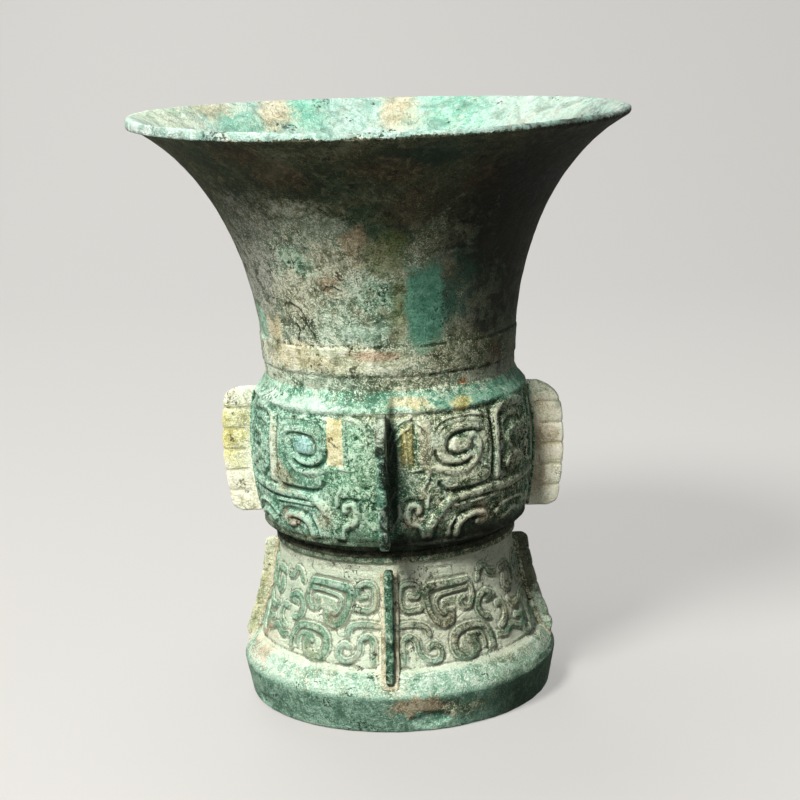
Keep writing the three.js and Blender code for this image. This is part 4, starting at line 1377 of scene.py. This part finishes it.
greenFlangeLook = {
    # dark green palette: partly the front flange's patina, partly painted shade of a flange lit only at a
    # grazing angle
    "palette": mineral((16, 23, 18), (44, 57, 46), (160, 180, 160), 0.31), "bump": 0.9,
    "zones": [
        zone((-3, 54, 72), (2.6, 12, 18), turquoise, 0.78, soft=0.4, ragged=0.5),
        zone((0, 50, 97), (4, 8, 8), greyCrust, 0.6, soft=0.4),
        zone((0, 56, 58.6), (4, 12, 3), mintCrust, 0.8, soft=0.4),
        zone((0, 50, 34), (6, 12, 20), midGreen, soft=0.3),
        zone((-2, 48, 32), (1.2, 12, 20), mintCrust, 0.6, soft=0.4),
    ],
    "stains": [(seaGreen, 0.2, 0.3, 0.4)],
}
paleFlangeLook = {
    "palette": mineral((204, 200, 162), (242, 240, 208), (253, 252, 236), 0.75), "bump": 0.6,
    "zones": [
        zone((-90, 56, 85), (12, 5, 9), lemonCrust, 0.85, soft=0.4, ragged=1.1),
        zone((-90, 48, 88), (8, 5, 16), mintCrust, 0.35, soft=0.4),
        zone((90, 52, 100), (10, 20, 4), mintCrust, 0.7, soft=0.5),
        zone((90, 58, 96), (6, 3, 6), deepGreen, 0.7, soft=0.5),
        zone((180, 56, 84), (10, 14, 24), seaGreen, 0.8, soft=0.5),
    ],
    "stains": [(creamCrust, 0.14, 0.22, 0.35), (brightCream, 0.2, 0.3, 0.5)],
    "lateZones": [
        # darker tan at the right flange's root: partly crust, partly painted shade where the belly shades the
        # root
        zone((90, 47, 80), (6, 3.4, 20), tanCrust, 0.7, soft=0.5),
    ],
    "relief": [("crest", tint(150, 142, 98), 0, 1.0, -0.1, -0.6, 0.4)],
}
paleFootFlangeLook = {
    "palette": mineral((130, 150, 116), (204, 212, 178), (242, 244, 220), 0.6), "bump": 0.8,
    "zones": [
        zone((90, 46, 40), (14, 20, 16), darkBronzeAndShade, 0.85, soft=0.4),
        zone((90, 50, 22), (10, 20, 8), mintCrust, 0.7, soft=0.4),
        zone((-90, 48, 30), (8, 10, 16), ochre, 0.3, soft=0.5, ragged=1.0),
        zone((180, 48, 34), (14, 14, 20), seaGreen, 0.7, soft=0.4),
    ],
    "stains": [(seaGreen, 0.2, 0.28, 0.45)],
    "relief": [("crest", tint(84, 86, 58), 0, 1.0, -0.1, -0.5, 0.4)],
}
fillerLook = {
    "palette": mineral((140, 132, 98), (208, 202, 168), (238, 234, 208), 0.6), "bump": 0.9,
    "zones": [
        zone((10, 44, 50), (6, 6, 4), tanCrust, 0.6, soft=0.4),
        zone((90, 44, 36), (14, 20, 20), brownOlive, 0.8, soft=0.4),
    ],
    "stains": [(mintCrust, 0.2, 0.25, 0.5)],
}


def highOrTall(zones):  # the belly's zones that reach its neck ring
    return [patch for patch in zones if patch["at"][2] > 98 or patch["size"][2] > 20]


ringLook = {
    "palette": seaGreen, "bump": 0.9, "zones": highOrTall(bellyLook["zones"]),
    "stains": [(greyCrust, 0.3, 0.4, 0.7)], "lateZones": highOrTall(bellyLook["lateZones"]),
}
waistLook = {"palette": darkBronzeAndShade, "bump": 0.9}
bowlLook = {
    "palette": seaGreen, "bump": 0.9,
    "zones": [
        zone((0, 0, 60), (20, 20, 20), greyCrust, 0.7, soft=0.5),
    ],
    "stains": [(mintCrust, 0.12, 0.4, 0.6)],
}


def finish(piece, material):
    piece.data.materials.clear()
    piece.data.materials.append(material)
    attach(piece, body)


neckPatina = makePatina("neckPatina", neckLook)
bellyPatina = makePatina("bellyPatina", bellyLook)
footPatina = makePatina("footPatina", footLook)
greenFlange = makePatina("greenFlange", greenFlangeLook)
paleFlange = makePatina("paleFlange", paleFlangeLook)
paleFootFlange = makePatina("paleFootFlange", paleFootFlangeLook)
filler = makePatina("filler", fillerLook)
ringPatina = makePatina("seamPatina", ringLook)
waistPatina = makePatina("waistPatina", waistLook)
bowlPatina = makePatina("bowlPatina", bowlLook)
finish(neck, neckPatina)
finish(rootRing, ringPatina)
finish(belly, bellyPatina)
finish(foot, footPatina)
finish(bowlFloor, bowlPatina)
finish(floorRing, bowlPatina)
finish(waistRing, waistPatina)
for side in sides:
    atFront = side == "Front"
    finish(bellyFlanges[side], greenFlange if atFront else paleFlange)
    finish(footFlanges[side], greenFlange if atFront else paleFootFlange)
    finish(bellyBeads[side], bellyPatina)
    finish(footBeads[side], filler)
print("patina painted")


# Camera at the photograph's angle, a pale swept backdrop and soft light
view = {
    "lens": 85.45,
    "sensor": 36,
    "turn": math.radians(4),
    "away": 0.60603,
    "height": 0.23001,
    "yaw": 0.0049,
    "pitch": 0.2185,
    "roll": -0.0363,
}
studio = {
    "halfWidth": 6,
    "front": -6,
    "back": 0.75,
    "rise": 0.45,
    "wall": 2.4,
    "shade": tint(78, 74, 70),  # throws little light back on the object
    "seenShade": tint(128, 126, 123),
    "nearGlow": tint(168, 167, 164),
    "farGlow": tint(204, 203, 200),
    "glowReach": (0.8, 3.0),
    "sky": tint(214, 220, 228),
    "seenSky": tint(213, 212, 209),
    "skyStrength": 0.16,
}


def addCamera():
    data = bpy.data.cameras.new("photoCamera")
    camera = bpy.data.objects.new("photoCamera", data)
    bpy.context.scene.collection.objects.link(camera)
    (data.lens, data.sensor_width) = (view["lens"], view["sensor"])
    (level, down) = (math.cos(view["pitch"]), math.sin(view["pitch"]))
    forward = Vector((math.sin(view["yaw"]) * level, math.cos(view["yaw"]) * level, -down))
    right = Vector((math.cos(view["yaw"]), -math.sin(view["yaw"]), 0))
    up = right.cross(forward)
    rolledRight = right * math.cos(view["roll"]) + up * math.sin(view["roll"])
    rolledUp = up * math.cos(view["roll"]) - right * math.sin(view["roll"])
    aim = Matrix((rolledRight, rolledUp, -forward)).transposed()
    spin = Matrix.Rotation(view["turn"], 3, "Z")
    place = spin @ Vector((0, -view["away"], view["height"]))
    camera.matrix_world = Matrix.Translation(place) @ (spin @ aim).to_4x4()
    bpy.context.scene.camera = camera


def addLamp(name, place, size, power, colour):
    data = bpy.data.lights.new(name, "AREA")
    (data.shape, data.size, data.energy, data.color) = ("DISK", size, power, colour)
    lamp = bpy.data.objects.new(name, data)
    bpy.context.scene.collection.objects.link(lamp)
    lamp.location = place
    lamp.rotation_euler = (Vector((0, 0, 0.1)) - Vector(place)).to_track_quat("-Z", "Y").to_euler()


def seenDirectly(tree):  # 1 where the camera, a reflection or a clear body looks at the background
    path = addNode(tree, "ShaderNodeLightPath").outputs
    seen = mathNode(tree, "MAXIMUM", path["Is Camera Ray"], path["Is Glossy Ray"])
    return mathNode(tree, "MAXIMUM", seen, path["Is Transmission Ray"])


def addBackdrop():
    s = studio
    backdrop = startPoint("paleBackdrop", -s["halfWidth"] / mm, s["front"] / mm, 0)
    sweep = [(s["back"] + s["rise"] * math.sin(a), s["rise"] * (1 - math.cos(a)))
             for a in steps(0, math.pi / 2, 24)]
    (y, z) = (s["front"], 0)
    for (nextY, nextZ) in [*sweep, (s["back"] + s["rise"], s["wall"])]:
        bpy.ops.mesh.extrude_region_move(TRANSFORM_OT_translate={"value": (0, nextY - y, nextZ - z)})
        (y, z) = (nextY, nextZ)
    bpy.ops.mesh.select_all(action="SELECT")
    bpy.ops.mesh.extrude_region_move(TRANSFORM_OT_translate={"value": (2 * s["halfWidth"], 0, 0)})
    bpy.ops.mesh.select_all(action="SELECT")
    bpy.ops.mesh.normals_make_consistent(inside=False)
    objectMode()
    bpy.ops.object.shade_smooth()
    material = bpy.data.materials.new("paleBackdrop")
    material.use_nodes = True
    tree = material.node_tree
    shader = tree.nodes["Principled BSDF"]
    seen = seenDirectly(tree)
    feed(tree, shader.inputs["Base Color"], blend(tree, seen, s["shade"], s["seenShade"]))
    distance = vectorNode(tree, "LENGTH", addNode(tree, "ShaderNodeTexCoord").outputs["Object"])
    glow = blend(tree, rangeNode(tree, distance, *s["glowReach"]), s["nearGlow"], s["farGlow"])
    feed(tree, shader.inputs["Emission Color"], blend(tree, seen, (0, 0, 0, 1), glow))
    shader.inputs["Emission Strength"].default_value = 1
    shader.inputs["Roughness"].default_value = 0.9
    backdrop.data.materials.append(material)


def addWorld():
    world = bpy.data.worlds.new("studio")
    bpy.context.scene.world = world
    world.use_nodes = True
    tree = world.node_tree
    background = tree.nodes["Background"]
    seen = seenDirectly(tree)
    feed(tree, background.inputs["Color"], blend(tree, seen, studio["sky"], studio["seenSky"]))
    feed(tree, background.inputs["Strength"], blendValue(tree, seen, studio["skyStrength"], 1.0))


lamps = {  # place, size, power and colour
    "keyLamp": ((-0.37, -0.69, 0.94), 0.34, 21.5, (1, 0.985, 0.95)),
    "topLamp": ((-0.15, 0.2, 1.1), 0.5, 4.2, (1, 1, 1)),
    "backLamp": ((-0.35, 1.0, 0.75), 0.7, 5, (1, 1, 1)),
    "fillLamp": ((0.1, -1.1, 0.2), 0.8, 1.2, (0.94, 0.97, 1)),
}
addCamera()
for (lampName, lampSettings) in lamps.items():
    addLamp(lampName, *lampSettings)
addBackdrop()
addWorld()
bpy.context.scene.view_settings.view_transform = "Standard"
print("camera, light and backdrop set")
